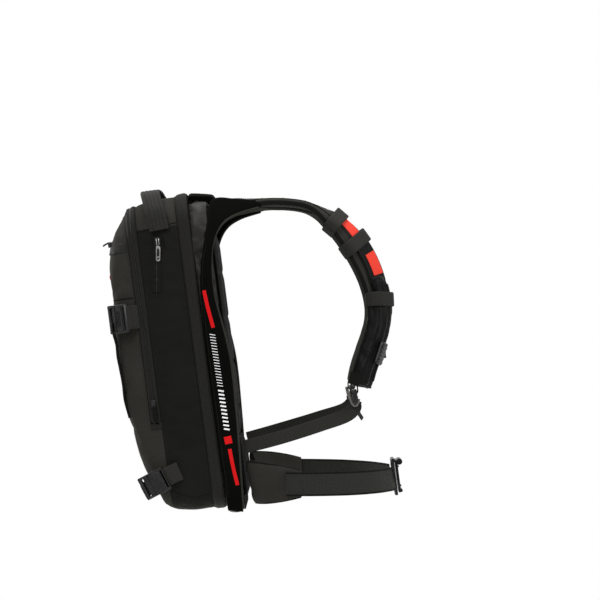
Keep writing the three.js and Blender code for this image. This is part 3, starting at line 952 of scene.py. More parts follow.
def make_seams(tree):
    """Piping, zip coils and stitching along the bag's seams."""
    low = FOLD_Z + 0.002
    seams = (("front_seam", SEAM_B, "front_flap", low), ("main_seam", SEAM_A, "pack", low),
             ("rear_seam", SEAM_C, "pack", None), ("compartment_seam", SEAM_D, "pack", None))
    for name, x, body, least in seams:
        spots = skin_ring(tree, x, least)
        cord = tube(name + "_piping", spots, 1.15 * MM, closed=least is None, lift=0.1 * MM)
        single(cord, body, "binding")
    zip_spots = skin_ring(tree, ZIP_MIDDLE, low)
    single(tube("front_zip_coil", zip_spots, 1.0 * MM, lift=1.1 * MM), "pack", "coil")
    rows_front = [shifted(skin_ring(tree, SEAM_B - 0.0035, low), 0, 0.1)]
    rows_front += [shifted(skin_level(tree, z, SEAM_B - 0.003), 0, 0.1)
                   for z in (LEVEL_SEAM_Z + 0.003, LEVEL_SEAM_Z - 0.003)]
    stitches("front_stitching", rows_front, "front_flap")
    rows_side = [shifted(skin_ring(tree, SEAM_A + 0.0035, None), 0, 0.1),
                 shifted(skin_ring(tree, SEAM_C - 0.0035, None), 0, 0.1)]
    for side in (-1, 1):
        level = [(SEAM_A + 0.001, SIDE_SEAM_Z - 0.003), (SEAM_C - 0.001, SIDE_SEAM_Z + 0.005)]
        spots = side_line(tree, level, side)
        single(tube(f"side_top_seam_{side + 2}", spots, 0.9 * MM), "pack", "binding")
        rows_side.append(shifted(spots, 3.0 * -side, 0.1))
        foot = [(SEAM_A + 0.004, -0.205), (-0.09, -0.219), (SEAM_C - 0.004, -0.217)]
        spots = side_line(tree, foot, side)
        single(tube(f"side_foot_seam_{side + 2}", spots, 0.9 * MM), "pack", "binding")
        rows_side.append(shifted(shifted(spots, 0, 0.1), 3.0, 0))
    stitches("side_stitching", rows_side, "pack")
    for side in (-1, 1):
        foot = side_line(tree, [(SEAM_B - 0.001, FOLD_Z - 0.001), (SEAM_A + 0.002, FOLD_Z - 0.001)], side, 16)
        single(ribbon(f"zip_foot_patch_{side + 2}", foot, 9, 2.4, 0.9), "pack", "tape")
    level = skin_level(tree, LEVEL_SEAM_Z, SEAM_B - 0.001)
    single(tube("front_level_seam", level, 1.0 * MM), "front_flap", "binding")


def make_front(tree):
    """Webbing across the front panel, its pocket zip with a pull, red tabs and a loose strap end."""
    webbing_z = 0.1915
    spots = skin_level(tree, webbing_z, SEAM_B - 0.001)
    single(ribbon("front_band", spots, 15, 1.8, 0.7), "front_flap", "light_webbing")
    stitches("front_band_stitching", [shifted(spots, s, 1.7) for s in (-6, 6)], "front_flap")
    zip_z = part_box("front_zip_slider")
    zip_z = (zip_z[LOW].z + zip_z[HIGH].z) / 2
    zip_run = [s for s in skin_level(tree, zip_z, SEAM_B - 0.001) if abs(s[0].y) < 0.085]
    single(ribbon("front_pocket_tape", zip_run, 11, 1.0, 0.2), "front_flap", "tape")
    single(tube("front_pocket_coil", zip_run, 1.3 * MM, lift=0.6 * MM), "front_flap", "coil")
    stitches("front_pocket_stitching", [shifted(zip_run, s, 0.8) for s in (-4.4, 4.4)], "front_flap")
    bevelled("front_zip_slider", "front_slider", "dark_metal", 0.7)
    low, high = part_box("front_zip_slider")
    middle = (low.y + high.y) / 2
    tip = Path([Vector((low.x + dx * MM, middle, high.z + dz * MM))
                for dx, dz in ((6.0, -0.4), (1.5, -0.2), (-3.5, -1.6), (-8.6, -4.2))])
    single(swept("front_zip_cord_pull", tip, (0, 1, 0), section(6.5 * MM, 2.6 * MM, power=3), 12),
           "front_slider", "binding")
    for name, z in (("upper", 0.249), ("lower", 0.149)):
        if name == "upper":
            hit, *_ = tree.ray_cast(Vector((-0.145, -0.045, 0.5)), Vector((0, 0, -1)))
            slope = Vector((-0.5, 0, 0.86))
            line = [(hit + Vector((0, d, 0.0)), slope) for d in np.linspace(-0.02, 0.02, 12)]
        else:
            line = [s for s in skin_level(tree, z, SEAM_B) if -0.075 < s[0].y < -0.03]
        single(ribbon(f"front_red_tab_{name}", line, 7, 1.4, 0.9), "front_flap", "red")
    tail = mm((-181.5, -128, 76), (-182.5, -127, 62))
    for z, clear in ((40, 4.5), (20, 4.0), (0, 2.4), (-25, 1.8), (-50, 1.8), (-80, 1.8)):
        hit, *_ = tree.ray_cast(Vector((-0.4, -0.112, z * MM)), Vector((1, 0, 0)))
        tail.append(Vector((hit.x - clear * MM, -0.118 + (76 - z) * 0.00004, z * MM)))
    single(swept("upper_strap_tail", Path(tail), (0.25, 1, 0), section(12 * MM, 1.8 * MM), 60),
           "front_flap", "webbing")


def make_side_pocket(tree):
    """The right-hand pocket: two welts either side of a coil zip, and a garage round the slider."""
    low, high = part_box("side_zip_slider")
    x, middle_z = (low.x + high.x) / 2, (low.z + high.z) / 2
    lean, length = 0.14, 0.088
    start = Vector((x, 0, high.z + 0.002))
    line = side_line(tree, [(start.x - lean * s, start.z - s) for s in (0, length / 2, length)], -1, 60)
    for i, s in enumerate((-4.2, 4.2)):
        single(ribbon(f"side_pocket_welt_{i}", shifted(line, s), 6.0, 2.2, 0.5, 3), "pack", "panel")
    single(tube("side_pocket_coil", line, 1.2 * MM, lift=0.3 * MM), "pack", "coil")
    stitches("side_pocket_stitching", [shifted(line, s, 0.4) for s in (-8.4, 8.4)], "pack")
    arch = [(x + 9.5 * MM * math.cos(a), middle_z + 11.5 * MM * math.sin(a))
            for a in np.linspace(0, math.pi, 14)]
    garage = [(x + 9.5 * MM, middle_z - 11 * MM), *arch, (x - 9.5 * MM, middle_z - 11 * MM)]
    garage_line = side_line(tree, garage, -1, 60)
    single(tube("side_pocket_garage", garage_line, 1.5 * MM, lift=0.4 * MM), "pack", "binding")


def make_handle():
    """The carrying handle over the top: padded, with lengthwise ridges and stitched feet on the sides."""
    half = mm((-87, -148, 213), (-88, -147, 228), (-91, -143, 248), (-95, -122, 268), (-97.5, -88, 277),
              (-97.5, -30, 280))
    path = Path(half + [Vector((p.x, -p.y, p.z)) for p in reversed(half)])
    ridges = lambda x: 1.1 * MM * abs(math.cos(2.5 * math.pi * x)) ** 0.5
    outline = section(31 * MM, 4.2 * MM, ridges, lambda x: 0.2 * MM, 5, 40)
    handle = swept("carry_handle", path, (-1, 0, 0), outline, 120)
    handle = single(handle, "pack", "webbing", ("grab_handle",))
    box_rows = []
    for side in (0, 1):
        t0, t1 = (0.006, 0.05) if side == 0 else (0.95, 0.994)
        spots = []
        for a, t in ((-12, t0), (12, t0), (12, t1), (-12, t1), (-12, t0), (12, t1), (12, t0), (-12, t1)):
            place, _, wide, up = frame_at(path, t, (-1, 0, 0))
            spots.append((place + wide * a * MM + up * 3.4 * MM, up))
        box_rows.append(spots)
    stitches("handle_stitching", box_rows, "pack", 3.0)


# ---------------------------------------------------------------- airbag compartment, harness panels, back

def make_compartment():
    """The light nylon round the folded airbag, slack and wrinkled between its two seams."""
    count, rows = 420, 9
    back, front = SEAM_D + 0.0004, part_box("back_panel")[LOW][0] + 0.003
    half, low, high = 0.1385, -0.250, 0.2505
    xs = np.linspace(back, front, rows)
    vertices = [(x, y, z) for x in xs for y, z in ring(half, low, high, CORNER, count)]
    obj = mesh_object("airbag_compartment_cloth", vertices, ring_faces(rows, count))
    fix_normals(obj)
    points = coordinates(obj.data)
    points += random.normal(0, 0.0002, points.shape)
    set_coordinates(obj.data, points)
    held = (points[:, 0] < back + 0.001) | (points[:, 0] > front - 0.001)
    inflate(obj, held, 1.6, 0.0065, 0.14, 18)
    rumple(obj, 1.2 * MM, 0.016)
    thicken(obj, 1.2)
    subdivide(obj)
    return single(obj, "pack", "nylon", ("airbag_compartment",))


def thicken(obj, thick):
    """Gives a sheet its thickness, in millimetres."""
    shell = obj.modifiers.new("shell", "SOLIDIFY")
    shell.thickness = thick * MM
    shell.offset = -1
    return apply_modifiers(obj)


def subdivide(obj):
    """One smooth subdivision."""
    obj.modifiers.new("smooth", "SUBSURF").levels = 1
    return apply_modifiers(obj)


HARNESS_BAG_EDGE = mm((-36, -141, -246), (-37, -146, -150), (-37, -146.5, 0), (-36, -146.5, 60),
                      (-32, -146, 130),
                      (-22, -144.5, 175), (-11, -139, 212), (-5, -122, 240), (2, -102, 253), (16, -92, 255),
                      (40, -93, 249), (70, -98, 243))
HARNESS_ARM_EDGE = mm((-12, -137, -252), (-8, -142, -190), (-3, -143, -100), (-1, -142, -8), (-7, -141, 50),
                      (-14, -141, 100), (-11, -138, 155), (-2, -130, 190), (16, -117, 213), (40, -107, 224),
                      (66, -104, 229), (80, -104, 231))


def make_harness_sides():
    """Padded panels from the bag's sides up into the straps, bound along the armhole, with red strips."""
    bag_edge, arm_edge = Path(HARNESS_BAG_EDGE), Path(HARNESS_ARM_EDGE)
    rows, columns = 110, 18
    rings, rim = [], []
    for i in range(rows + 1):
        t = i / rows
        a, b = bag_edge.at(t), arm_edge.at(t)
        out = (b - a).cross(bag_edge.forward(t) + arm_edge.forward(t)).normalized()
        top, bottom = [], []
        for k in range(columns + 1):
            u = k / columns
            v = 2 * u - 1
            edge = max(0.0, 1 - abs(v) ** 6) ** (1 / 6)
            middle = a.lerp(b, u)
            top.append(middle + out * edge * (2.4 + 1.6 * (1 - v * v)) * MM)
            bottom.append(middle - out * edge * 2.0 * MM)
        rings.append(top + bottom[-2:0:-1])
        rim.append((b, out))
    panel = ring_mesh("harness_side", rings)
    rumple(panel, 0.7 * MM, 0.03)
    tree = tree_of(panel)
    pair(panel, ("pack", "pack"), "harness", ())
    # the armhole binding is pack cloth, lighter than the harness; the lighter tone is partly a painted
    # highlight for the light reflected along this bound edge
    pair(tube("armhole_binding", rim[1:-1], 2.3 * MM, count=10), ("pack", "pack"), "fabric")

    def on_panel(points, count):
        path = Path([Vector((x * MM, 0, z * MM)) for x, z in points])
        spots = []
        for t in np.linspace(0, 1, count):
            hit, normal, *_ = tree.ray_cast(Vector((path.at(t).x, -0.4, path.at(t).z)), Vector((0, 1, 0)))
            if hit:
                spots.append((hit, normal))
        return spots

    upper = on_panel([(-28.5, 108), (-26, 80), (-21.5, 47)], 24)
    lower = on_panel([(-20.5, -149), (-18.5, -180), (-15.5, -208)], 24)
    pair(ribbon("harness_red_upper", upper, 6, 1.3, 0.4), ("pack", "pack"), "red")
    pair(ribbon("harness_red_lower", lower, 6, 1.3, 0.4), ("pack", "pack"), "red")
    square = on_panel([(-21.5, -128.5), (-20.5, -140.5)], 6)
    pair(ribbon("harness_red_square", square, 12, 1.3, 0.4, 8), ("pack", "pack"), "red")
    bars = []
    for count, top, pitch, stroke in ((19, 36, 4.6, 1.2), (11, -55, 6.2, 2.6)):
        for i in range(count):
            z = top - i * pitch
            x = -24.3 + (38 - z) * 0.022
            line = on_panel([(x - 4.4, z + 1.3), (x + 4.4, z - 1.3)], 6)
            bars.append(ribbon("bar", line, stroke, 0.5, 0.15, 4))
    pair(joined("reflective_hatch", bars), ("pack", "pack"), "reflective")
    seam = on_panel([(-32.5, -225), (-33.5, -60), (-32.5, 60), (-27, 140), (-16, 182)], 90)
    stitches_pair("harness_stitching", [seam])


def stitches_pair(name, rows):
    """Rows of stitches on the right side, and the same on the left."""
    obj = stitches(name, rows, "pack")
    copy = mirrored(obj, name + "_left")
    obj.name = name + "_right"
    finish_piece(copy, "pack", "thread")


def make_yoke():
    """The padded flap over the top of the compartment, and its stitching."""
    low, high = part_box("harness_yoke")
    middle_x, depth, slope = (low.x + high.x) / 2, high.x - low.x, 0.18
    route = [Vector((middle_x, y, high.z - 0.0025 - 0.006 * (abs(y) / high.y) ** 4))
             for y in np.linspace(low.y, high.y, 15)]
    outline = section(depth + 0.003, 7.6 * MM, lambda x: 1.4 * MM, None, 4, 24)
    flap = swept("yoke_flap", Path(route), (-1, 0, slope), outline, 60)
    rumple(flap, 0.8 * MM, 0.03)
    single(flap, "pack", "harness", ("harness_yoke",))
    rows = []
    for x in (low.x + 0.004, high.x - 0.004):
        rise = 0.0048 - (x - middle_x) * slope
        rows.append([(Vector((x, p.y, p.z + rise)), Vector((0, 0, 1))) for p in route])
    stitches("yoke_stitching", rows, "pack")


def rounded_slab(name, node, radius, size, clear=0.0004, shoulder=0.002, chamfer=0.002):
    """A closed slab in a node's box, its rims chamfered, evenly meshed for shaping."""
    low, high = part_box(node)
    middle = (low.z + high.z) / 2
    layers = ((low.x + clear, chamfer), (low.x + shoulder, 0), (high.x - shoulder, 0),
              (high.x - clear, chamfer))
    rings = []
    for x, inset in layers:
        width, height = high.y - low.y - 2 * inset, high.z - low.z - 2 * inset
        outline = rounded_outline(width, height, radius, (0, middle), 8)
        rings.append([Vector((x, y, z)) for y, z in outline])
    return remesh(ring_mesh(name, rings), size)


def pad(name, node, radius, channels, crown):
    """A foam pad: its front crowns down to its edge, and sewn channels sink into it."""
    low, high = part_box(node)
    obj = rounded_slab(name, node, radius, 0.0035)
    points = coordinates(obj.data)
    for p in points:
        share = max(0.0, (p[0] - low.x) / (high.x - low.x))
        edge = min(high.y - abs(p[1]), p[2] - low.z, high.z - p[2]) / 0.03
        sink = crown * (1 - smoothstep(edge, 0, 1))
        for distance, depth, width in channels(p[1], p[2]):
            sink += depth * math.exp(-(distance / width) ** 2)
        p[0] -= share * min(sink, 0.72 * (high.x - low.x))
    set_coordinates(obj.data, points)
    subdivide(obj)
    return single(obj, "pack", "foam", (node,))


def make_back():
    """Back panel with its two pads, seen from the wearer's side."""
    low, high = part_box("back_panel")
    layers = ((low.x + 0.0003, 0.0012), (low.x + 0.0010, 0), (high.x - 0.0010, 0), (high.x - 0.0003, 0.0012))
    rings = [[Vector((x, y, z)) for y, z in ring(high.y - inset, low.z + inset, high.z - inset, CORNER, 200)]
             for x, inset in layers]
    single(ring_mesh("back_panel_cloth", rings), "pack", "harness", ("back_panel",))
    sewn = [(Vector((high.x - 0.0003, y, z)), Vector((1, 0, 0)))
            for y, z in ring(high.y - 0.008, low.z + 0.008, high.z - 0.008, CORNER, 200)]
    stitches("back_panel_stitching", [sewn], "pack")

    def back_channels(y, z):
        yield abs(y), 0.0055, 0.011
        for level in (-0.075, 0.0, 0.075, 0.15):
            yield abs(z - level + abs(y) * 0.22), 0.0035, 0.0045

    def lumbar_channels(y, z):
        yield abs(abs(y) - 0.052), 0.005, 0.005
        yield abs(y), 0.003, 0.012

    pad("back_pad_foam", "back_pad", 0.030, back_channels, 0.004)
    pad("lumbar_pad_foam", "lumbar_pad", 0.026, lumbar_channels, 0.005)
    for node in ("back_pad", "lumbar_pad"):
        a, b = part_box(node)
        outline = rounded_outline(b.y - a.y - 0.002, b.z - a.z - 0.002, 0.028, (0, (a.z + b.z) / 2), 8)
        spots = [(Vector((a.x + 0.0018, y, z)), Vector((0, y, z - (a.z + b.z) / 2)).normalized())
                 for y, z in outline]
        single(tube(f"{node}_binding", spots, 1.6 * MM, closed=True), "pack", "binding")


# ---------------------------------------------------------------- shoulder straps

STRAP = Path(mm((6, -52, 244), (24, -58, 240), (50, -66, 239), (84, -76, 237), (124, -84, 231),
                (153, -88, 222),
                (181, -90, 204), (206, -90, 177), (226, -88, 144), (239, -86, 108), (244, -86, 76),
                (242, -88, 45), (233, -93, 12), (217, -98, -22), (203, -103, -52), (195, -106, -76)))


def strap_across(t):
    """Towards the middle of the chest; level over the shoulder, turned outward at root and chest."""
    forward = STRAP.forward(t)
    inward = 0.45 * (1 - smoothstep(t, 0, 0.2)) + 0.5 * smoothstep(t, 0.33, 0.55)
    inward += 0.32 * smoothstep(t, 0.30, 0.42) * (1 - smoothstep(t, 0.66, 0.80))
    return Vector((-inward * forward.z, 1, inward * forward.x))


def strap_width(t):
    """The shoulder strap's width along its length."""
    return (58 - 20 * smoothstep(t, 0.55, 0.8)) * MM


def on_strap(name, span, outline, lift, aside=0.0, steps=30):
    """A piece swept along the right shoulder strap."""
    return swept(name, STRAP, strap_across, outline, steps, span, lift, aside)


def strap_line(t0, t1, aside, lift, count=120):
    """Spots along the strap at a distance from its middle and above it, in metres."""
    spots = []
    for t in np.linspace(t0, t1, count):
        place, _, wide, up = frame_at(STRAP, t, strap_across)
        side = aside(t) if callable(aside) else aside
        spots.append((place + wide * side + up * lift, up))
    return spots


def make_shoulder_straps():
    """Padded straps with bound edges, a webbing down the middle and sewn bars."""
    core = on_strap("shoulder_strap", (0, 1), lambda t: section(
        strap_width(t) - 2 * MM, 9.6 * MM, lambda x: 1.5 * MM, lambda x: 0.8 * MM, 4, 20), 0, 0, 150)
    rumple(core, 0.9 * MM, 0.022)
    pair(core, ("pack", "pack"), "fabric", ("shoulder_strap",))
    for side, edge in ((-1, "outer"), (1, "inner")):
        binding = on_strap(f"strap_{edge}_binding", (0.004, 0.996), section(5.5 * MM, 7.4 * MM, power=3),
                           0, lambda t: side * (strap_width(t) / 2 - 2.4 * MM), 130)
        pair(binding, ("pack", "pack"), "binding")
    rows = [strap_line(0.03, 0.97, lambda t, s=s: s * (strap_width(t) / 2 - 7 * MM), 6.1 * MM)
            for s in (-1, 1)]
    stitches_pair("strap_stitching", rows)
    webbing = on_strap("strap_webbing", (0.07, 0.985), section(20 * MM, 1.8 * MM), 7.3 * MM, 0, 120)
    pair(webbing, ("pack", "pack"), "webbing")
    bars = []
    for t in (0.09, 0.16, 0.23, 0.30, 0.37):
        place, _, wide, up = frame_at(STRAP, t, strap_across)
        bars.append([(place + wide * a * MM + up * 8.3 * MM, up) for a in np.linspace(-9, 9, 8)])
    stitches_pair("strap_bar_stitching", bars)
    for name, span in (("upper", (0.428, 0.494)), ("lower", (0.527, 0.560))):
        red = on_strap(f"strap_red_{name}", span, section(24 * MM, 1.6 * MM, power=8), 9.2 * MM, 6 * MM, 12)
        pair(red, ("pack", "pack"), "strap_red")


def keeper_loop(name, t, width, depth, rise, length):
    """A webbing loop round the strap, proud of its outer face."""
    place, forward, wide, up = frame_at(STRAP, t, strap_across)
    outline = [(a, b + rise) for a, b in section(width, depth, power=3.6, count=22)]
    rings = []
    for i, (a, b) in enumerate(outline):
        (ax, ay), (bx, by) = outline[i - 1], outline[(i + 1) % len(outline)]
        normal = (wide * (by - ay) - up * (bx - ax)).normalized()
        rings.append([place + wide * a + up * b + forward * p + normal * q
                      for p, q in section(length, 2.0 * MM, power=6, count=10)])
    return ring_mesh(name, rings, closed=True)


def make_keepers():
    """Three loops, close under the strap and standing proud of its outer face."""
    under, above, length = 7.4 * MM, 7 * MM, 23 * MM
    for name, t, extra in (("upper", 0.415, 6.5 * MM), ("middle", 0.51, 6.5 * MM), ("lower", 0.71, 17 * MM)):
        depth = under + above + extra
        loop = keeper_loop(f"keeper_{name}", t, strap_width(t) + 6.4 * MM, depth, depth / 2 - under, length)
        if name == "lower":
            single(loop, "pack", "webbing", ("strap_keeper_lower",))
        else:
            right, _ = pair(loop, ("pack", "pack"), "webbing")
            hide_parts(f"strap_keeper_{name}")


def make_trigger_pouch():
    """The red patch and the puffy sleeve on the right strap, with its zip, seams and trigger grip."""
    outline = section(40 * MM, 4 * MM, lambda x: 1 * MM)
    base = on_strap("patch_base", (0.525, 0.655), outline, 8.0 * MM, 3 * MM, 30)
    single(base, "pack", "sleeve")
    outline = section(25 * MM, 1.6 * MM, power=8)
    red = on_strap("red_patch_cloth", (0.560, 0.632), outline, 11.6 * MM, 6 * MM, 20)
    single(red, "pack", "strap_red", ("red_patch",))
    t0, t1 = 0.636, 0.997
    width = lambda t: (32 + 16 * smoothstep(t, 0.67, 0.74) - 3 * smoothstep(t, 0.8, t1)) * MM

    def sleeve(t):
        u = (t - t0) / (t1 - t0)
        full = min(1.0, u / 0.05, (1 - u) / 0.02) ** 0.5 if 0 < u < 1 else 0.12
        wrap = 15.5 * MM * smoothstep(t, 0.675, 0.72)
        folds = lambda x: full * MM * (4.6 + 1.5 * math.cos(7.5 * x + 2.4 * u) - 3.2 * x * x)
        return section(width(t), 8.5 * MM * max(full, 0.2), folds, lambda x: wrap * (1 - 0.1 * x * x), 4, 36)

    pouch = on_strap("trigger_sleeve", (t0, t1), sleeve, 11.4 * MM, 0, 90)
    remesh(pouch, 0.0032)
    points = coordinates(pouch.data)
    spine = np.array([STRAP.at(t) for t in np.linspace(t0, t1, 40)])
    near = np.array([np.linalg.norm(spine - p, axis=1).min() for p in points])
    inflate(pouch, near < 0.0115, 2.2, 0.0030, 0.06, 14)
    rumple(pouch, 0.7 * MM, 0.016, 3.0)
    subdivide(pouch)
    single(pouch, "pack", "sleeve", ("trigger_pouch",))
    tree = tree_of(pouch)

    def on_sleeve(start, end, aside, count=70):
        spots = []
        for t in np.linspace(start, end, count):
            place, _, wide, up = frame_at(STRAP, t, strap_across)
            origin = place + wide * aside(t) + up * 0.06
            hit, normal, *_ = tree.ray_cast(origin, -up)
            if hit:
                spots.append((hit, normal))
        return spots

    seam = on_sleeve(t0 + 0.02, t1 - 0.012, lambda t: 3 * MM)
    single(tube("trigger_sleeve_seam", seam, 0.9 * MM), "pack", "binding")
    zip_run = on_sleeve(t0 + 0.03, t1 - 0.02, lambda t: 13 * MM)
    single(ribbon("trigger_sleeve_zip_tape", zip_run, 7, 1.0, 0.1), "pack", "tape")
    single(tube("trigger_sleeve_zip_coil", zip_run, 1.1 * MM, lift=0.5 * MM), "pack", "coil")
    hem = on_strap("trigger_sleeve_hem", (0.962, 0.999), lambda t: section(
        46.6 * MM, 9.6 * MM, lambda x: (3.9 - 2.2 * x * x) * MM, lambda x: (16.2 - 1.6 * x * x) * MM, 4, 36),
        11.4 * MM, 0, 8)
    single(hem, "pack", "binding")
    bevelled("trigger_handle", "trigger", "plastic", 2.2, 4)
    grip = []
    top = 30.9 * MM
    for i, t in enumerate(np.linspace(0.855, 0.905, 5)):
        place, _, wide, up = frame_at(STRAP, t, strap_across)
        line = [(place + wide * a * MM + up * top, up) for a in np.linspace(-8, 8, 7)]
        grip.append(tube(f"grip_{i}", line, 1.1 * MM))
    single(joined("trigger_grip_ridges", grip), "trigger", "plastic")


def make_lower_webbing():
    """Ladder-locks at the straps' ends, the webbing through them and back to the bag, and loose tails."""
    for side in ("right", "left"):
        bevelled(f"ladder_lock_{side}", f"lock_{side}", "plastic", 1.2, 3)
    along = mm((189.5, -108, -101), (187, -109, -111), (176, -112, -120), (130, -128, -130), (60, -140, -142),
               (2, -128, -150))
    run = swept("lower_strap", Path(along), (0, 0.15, 1), section(22 * MM, 1.8 * MM), 90)
    pair(run, ("pack", "pack"), "webbing", ("lower_webbing",))
    hang = mm((194.5, -107, -68), (195.8, -108, -80), (194.8, -108, -87), (190, -108, -88.6),
              (185.2, -108, -87),
              (184.6, -108, -80), (187.5, -107, -69))
    loop = swept("lock_loop_right", Path(hang), (0, 1, 0), section(24 * MM, 2.0 * MM), 40)
    other = mirrored(loop, "lock_loop_left")
    for piece, side, y in ((loop, "right", -108), (other, "left", 108)):
        bending(piece, "webbing", ())
    # the fold round each ladder-lock gets a pale colour, a painted highlight of the light on the turned dark
    # webbing
    turn = mm((181.5, -108, -84), (182.5, -108, -95), (185, -108, -105), (189, -108, -107.5),
              (193.5, -108, -103),
              (195.5, -108, -98))
    pair(swept("lock_fold", Path(turn), (0, 1, 0), section(24 * MM, 5.2 * MM, power=3), 30), ("pack", "pack"),
         "webbing_fold_highlight")
    tail = mm((186.5, -106, -106), (189, -104, -114), (193, -102.5, -122), (197.5, -101, -131))
    loose = swept("lock_tail", Path(tail), (0.4, 1, 0), section(14 * MM, 2.0 * MM), 24)
    pair(loose, ("pack", "pack"), "webbing")


# ---------------------------------------------------------------- carry straps, sternum strap, hip belt

def buckle_axes(origin, along, across):
    """A buckle's origin in metres, and its three axes."""
    x = Vector(along).normalized()
    z = x.cross(Vector(across)).normalized()
    return Vector(origin) * MM, x, z.cross(x), z


def buckle_dress(prefix, axes, width, plug_body, socket_body, plug_length):
    """Raised rims, grip ribs, and a round bar and rails on the plug of a side-release buckle."""
    origin, x, y, z = axes
    half = (width / 2 + 4) * MM
    sign = 1 if z.y < 0 or z.x > 0.5 else -1
    face = z * sign * 5.2 * MM
    rim = [origin + face + x * a * MM + y * b for a, b in
           ((3, -half + 0.0022), (18, -half + 0.0034), (18, half - 0.0034), (3, half - 0.0022))]
    spots = [(p, z * sign) for p in rim]
    single(tube(f"{prefix}_socket_rim", spots, 0.9 * MM, closed=True), socket_body, "plastic")
    ribs = []
    for a in (6.5, 9.5, 12.5):
        line = [(origin + face + x * a * MM + y * b * half, z * sign) for b in (-0.55, 0, 0.55)]
        ribs.append(tube("rib", line, 0.8 * MM))
    single(joined(f"{prefix}_socket_ribs", ribs), socket_body, "plastic")
    bar = [(origin - x * (plug_length - 3.0) * MM + y * b * half + z * sign * 3.0 * MM, z * sign)
           for b in (-0.96, 0, 0.96)]
    single(tube(f"{prefix}_plug_bar", bar, 1.7 * MM, count=12), plug_body, "plastic")
    ends = []
    for b in (-0.86, 0.86):
        line = [(origin + face * 0.9 - x * a * MM + y * b * half, z * sign) for a in (1.5, plug_length - 1.5)]
        ends.append(tube("end", line, 1.2 * MM))
    single(joined(f"{prefix}_plug_rails", ends), plug_body, "plastic")


def make_carry_straps():
    """Upper and lower straps across the front: buckles, webbing and the tabs on the side."""
    z = (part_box("upper_strap_webbing")[LOW].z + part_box("upper_strap_webbing")[HIGH].z) / 2 / MM
    for node, body in (("upper_strap_socket", "front_flap"), ("upper_strap_plug", "upper_plug"),
                       ("lower_strap_socket", "pack"), ("lower_strap_plug", "lower_plug")):
        bevelled(node, body, "plastic", 0.9, 3)
    tilt = (-0.35, 0, 0.93)
    upper_axes = buckle_axes((-175, -131, z), (0.75, -0.66, 0), (0, 0, 1))
    buckle_dress("upper", upper_axes, 38, "upper_plug", "front_flap", 13)
    lower_axes = buckle_axes((-150, -145, -190), (0.93, -0.2, 0.35), tilt)
    buckle_dress("lower", lower_axes, 30, "lower_plug", "pack", 18)
    across = mm((-183.4, -119.5, z), (-181, -112, z), (-180.4, -104, z), (-180.3, -90, z), (-180.3, 0, z),
                (-180.3, 95, z), (-179.5, 114, z), (-174, 129, z), (-160, 138, z), (-146, 144, z))
    upper = swept("upper_strap", Path(across), (0, 0, 1), section(25 * MM, 1.9 * MM), 130)
    bending(upper, "webbing", ("upper_strap_webbing",))
    tab = mm((-157, -147.8, z), (-154.3, -147.9, z), (-149, -144.3, z), (-143, -140.6, z),
             (-138.5, -139.5, z))
    tab_piece = swept("upper_tab", Path(tab), (0, 0, 1), section(38 * MM, 2.4 * MM), 30)
    single(tab_piece, "front_flap", "webbing", ("upper_strap_tab",))
    stitches("upper_tab_stitching", [[(Vector((x, y, (z + d))) * MM, Vector((-0.5, -0.86, 0)))
                                      for x, y in ((-151.5, -147.8), (-147, -144.9), (-143.5, -142.8))]
                                     for d in (-16, 16)], "front_flap")
    low = mm((-166, -137, -201), (-166.5, -126, -201.5), (-164, -108, -199), (-158.5, -70, -197),
             (-157.5, 0, -197),
             (-158.5, 70, -197), (-160, 104, -198), (-152, 130, -190))
    lower = swept("lower_strap_across", Path(low), tilt, section(25 * MM, 1.9 * MM), 120)
    bending(lower, "webbing", ("lower_strap_webbing",))
    tab_low = mm((-127, -150.5, -181.5), (-121, -151, -178.5), (-113, -148.5, -176), (-104, -146, -173.5))
    tab_piece = swept("lower_tab", Path(tab_low), tilt, section(30 * MM, 2.2 * MM), 24)
    single(tab_piece, "pack", "webbing")


def make_sternum_strap():
    """The strap across the chest in two halves, with its buckle."""
    for node, body in (("sternum_socket", "pack"), ("sternum_plug", "chest_plug")):
        bevelled(node, body, "plastic", 0.8, 3)
    x, z = 246, -25
    right = mm((x - 24, -77, z), (x - 16, -70, z), (x - 4, -46, z), (x, -29.5, z), (x, -24, z))
    left = mm((x - 20, 73, z), (x - 14, 64, z), (x - 4, 42, z), (x, 23, z), (x, 13, z))
    single(swept("sternum_strap_right", Path(right), (0, 0, 1), section(20 * MM, 1.8 * MM), 40), "pack",
           "webbing", ("sternum_webbing_right",))
    chest = swept("sternum_strap_left", Path(left), (0, 0, 1), section(20 * MM, 1.8 * MM), 40)
    bending(chest, "webbing", ("sternum_webbing_left",))


HIP_Z, HIP_SLOPE = -0.207, 0.13


def hip_path(*points):
    """A route along the hip belt, from x and outward y in millimetres, falling towards the front."""
    return Path([Vector((x, -y, HIP_Z / MM - HIP_SLOPE * x)) * MM for x, y in points])


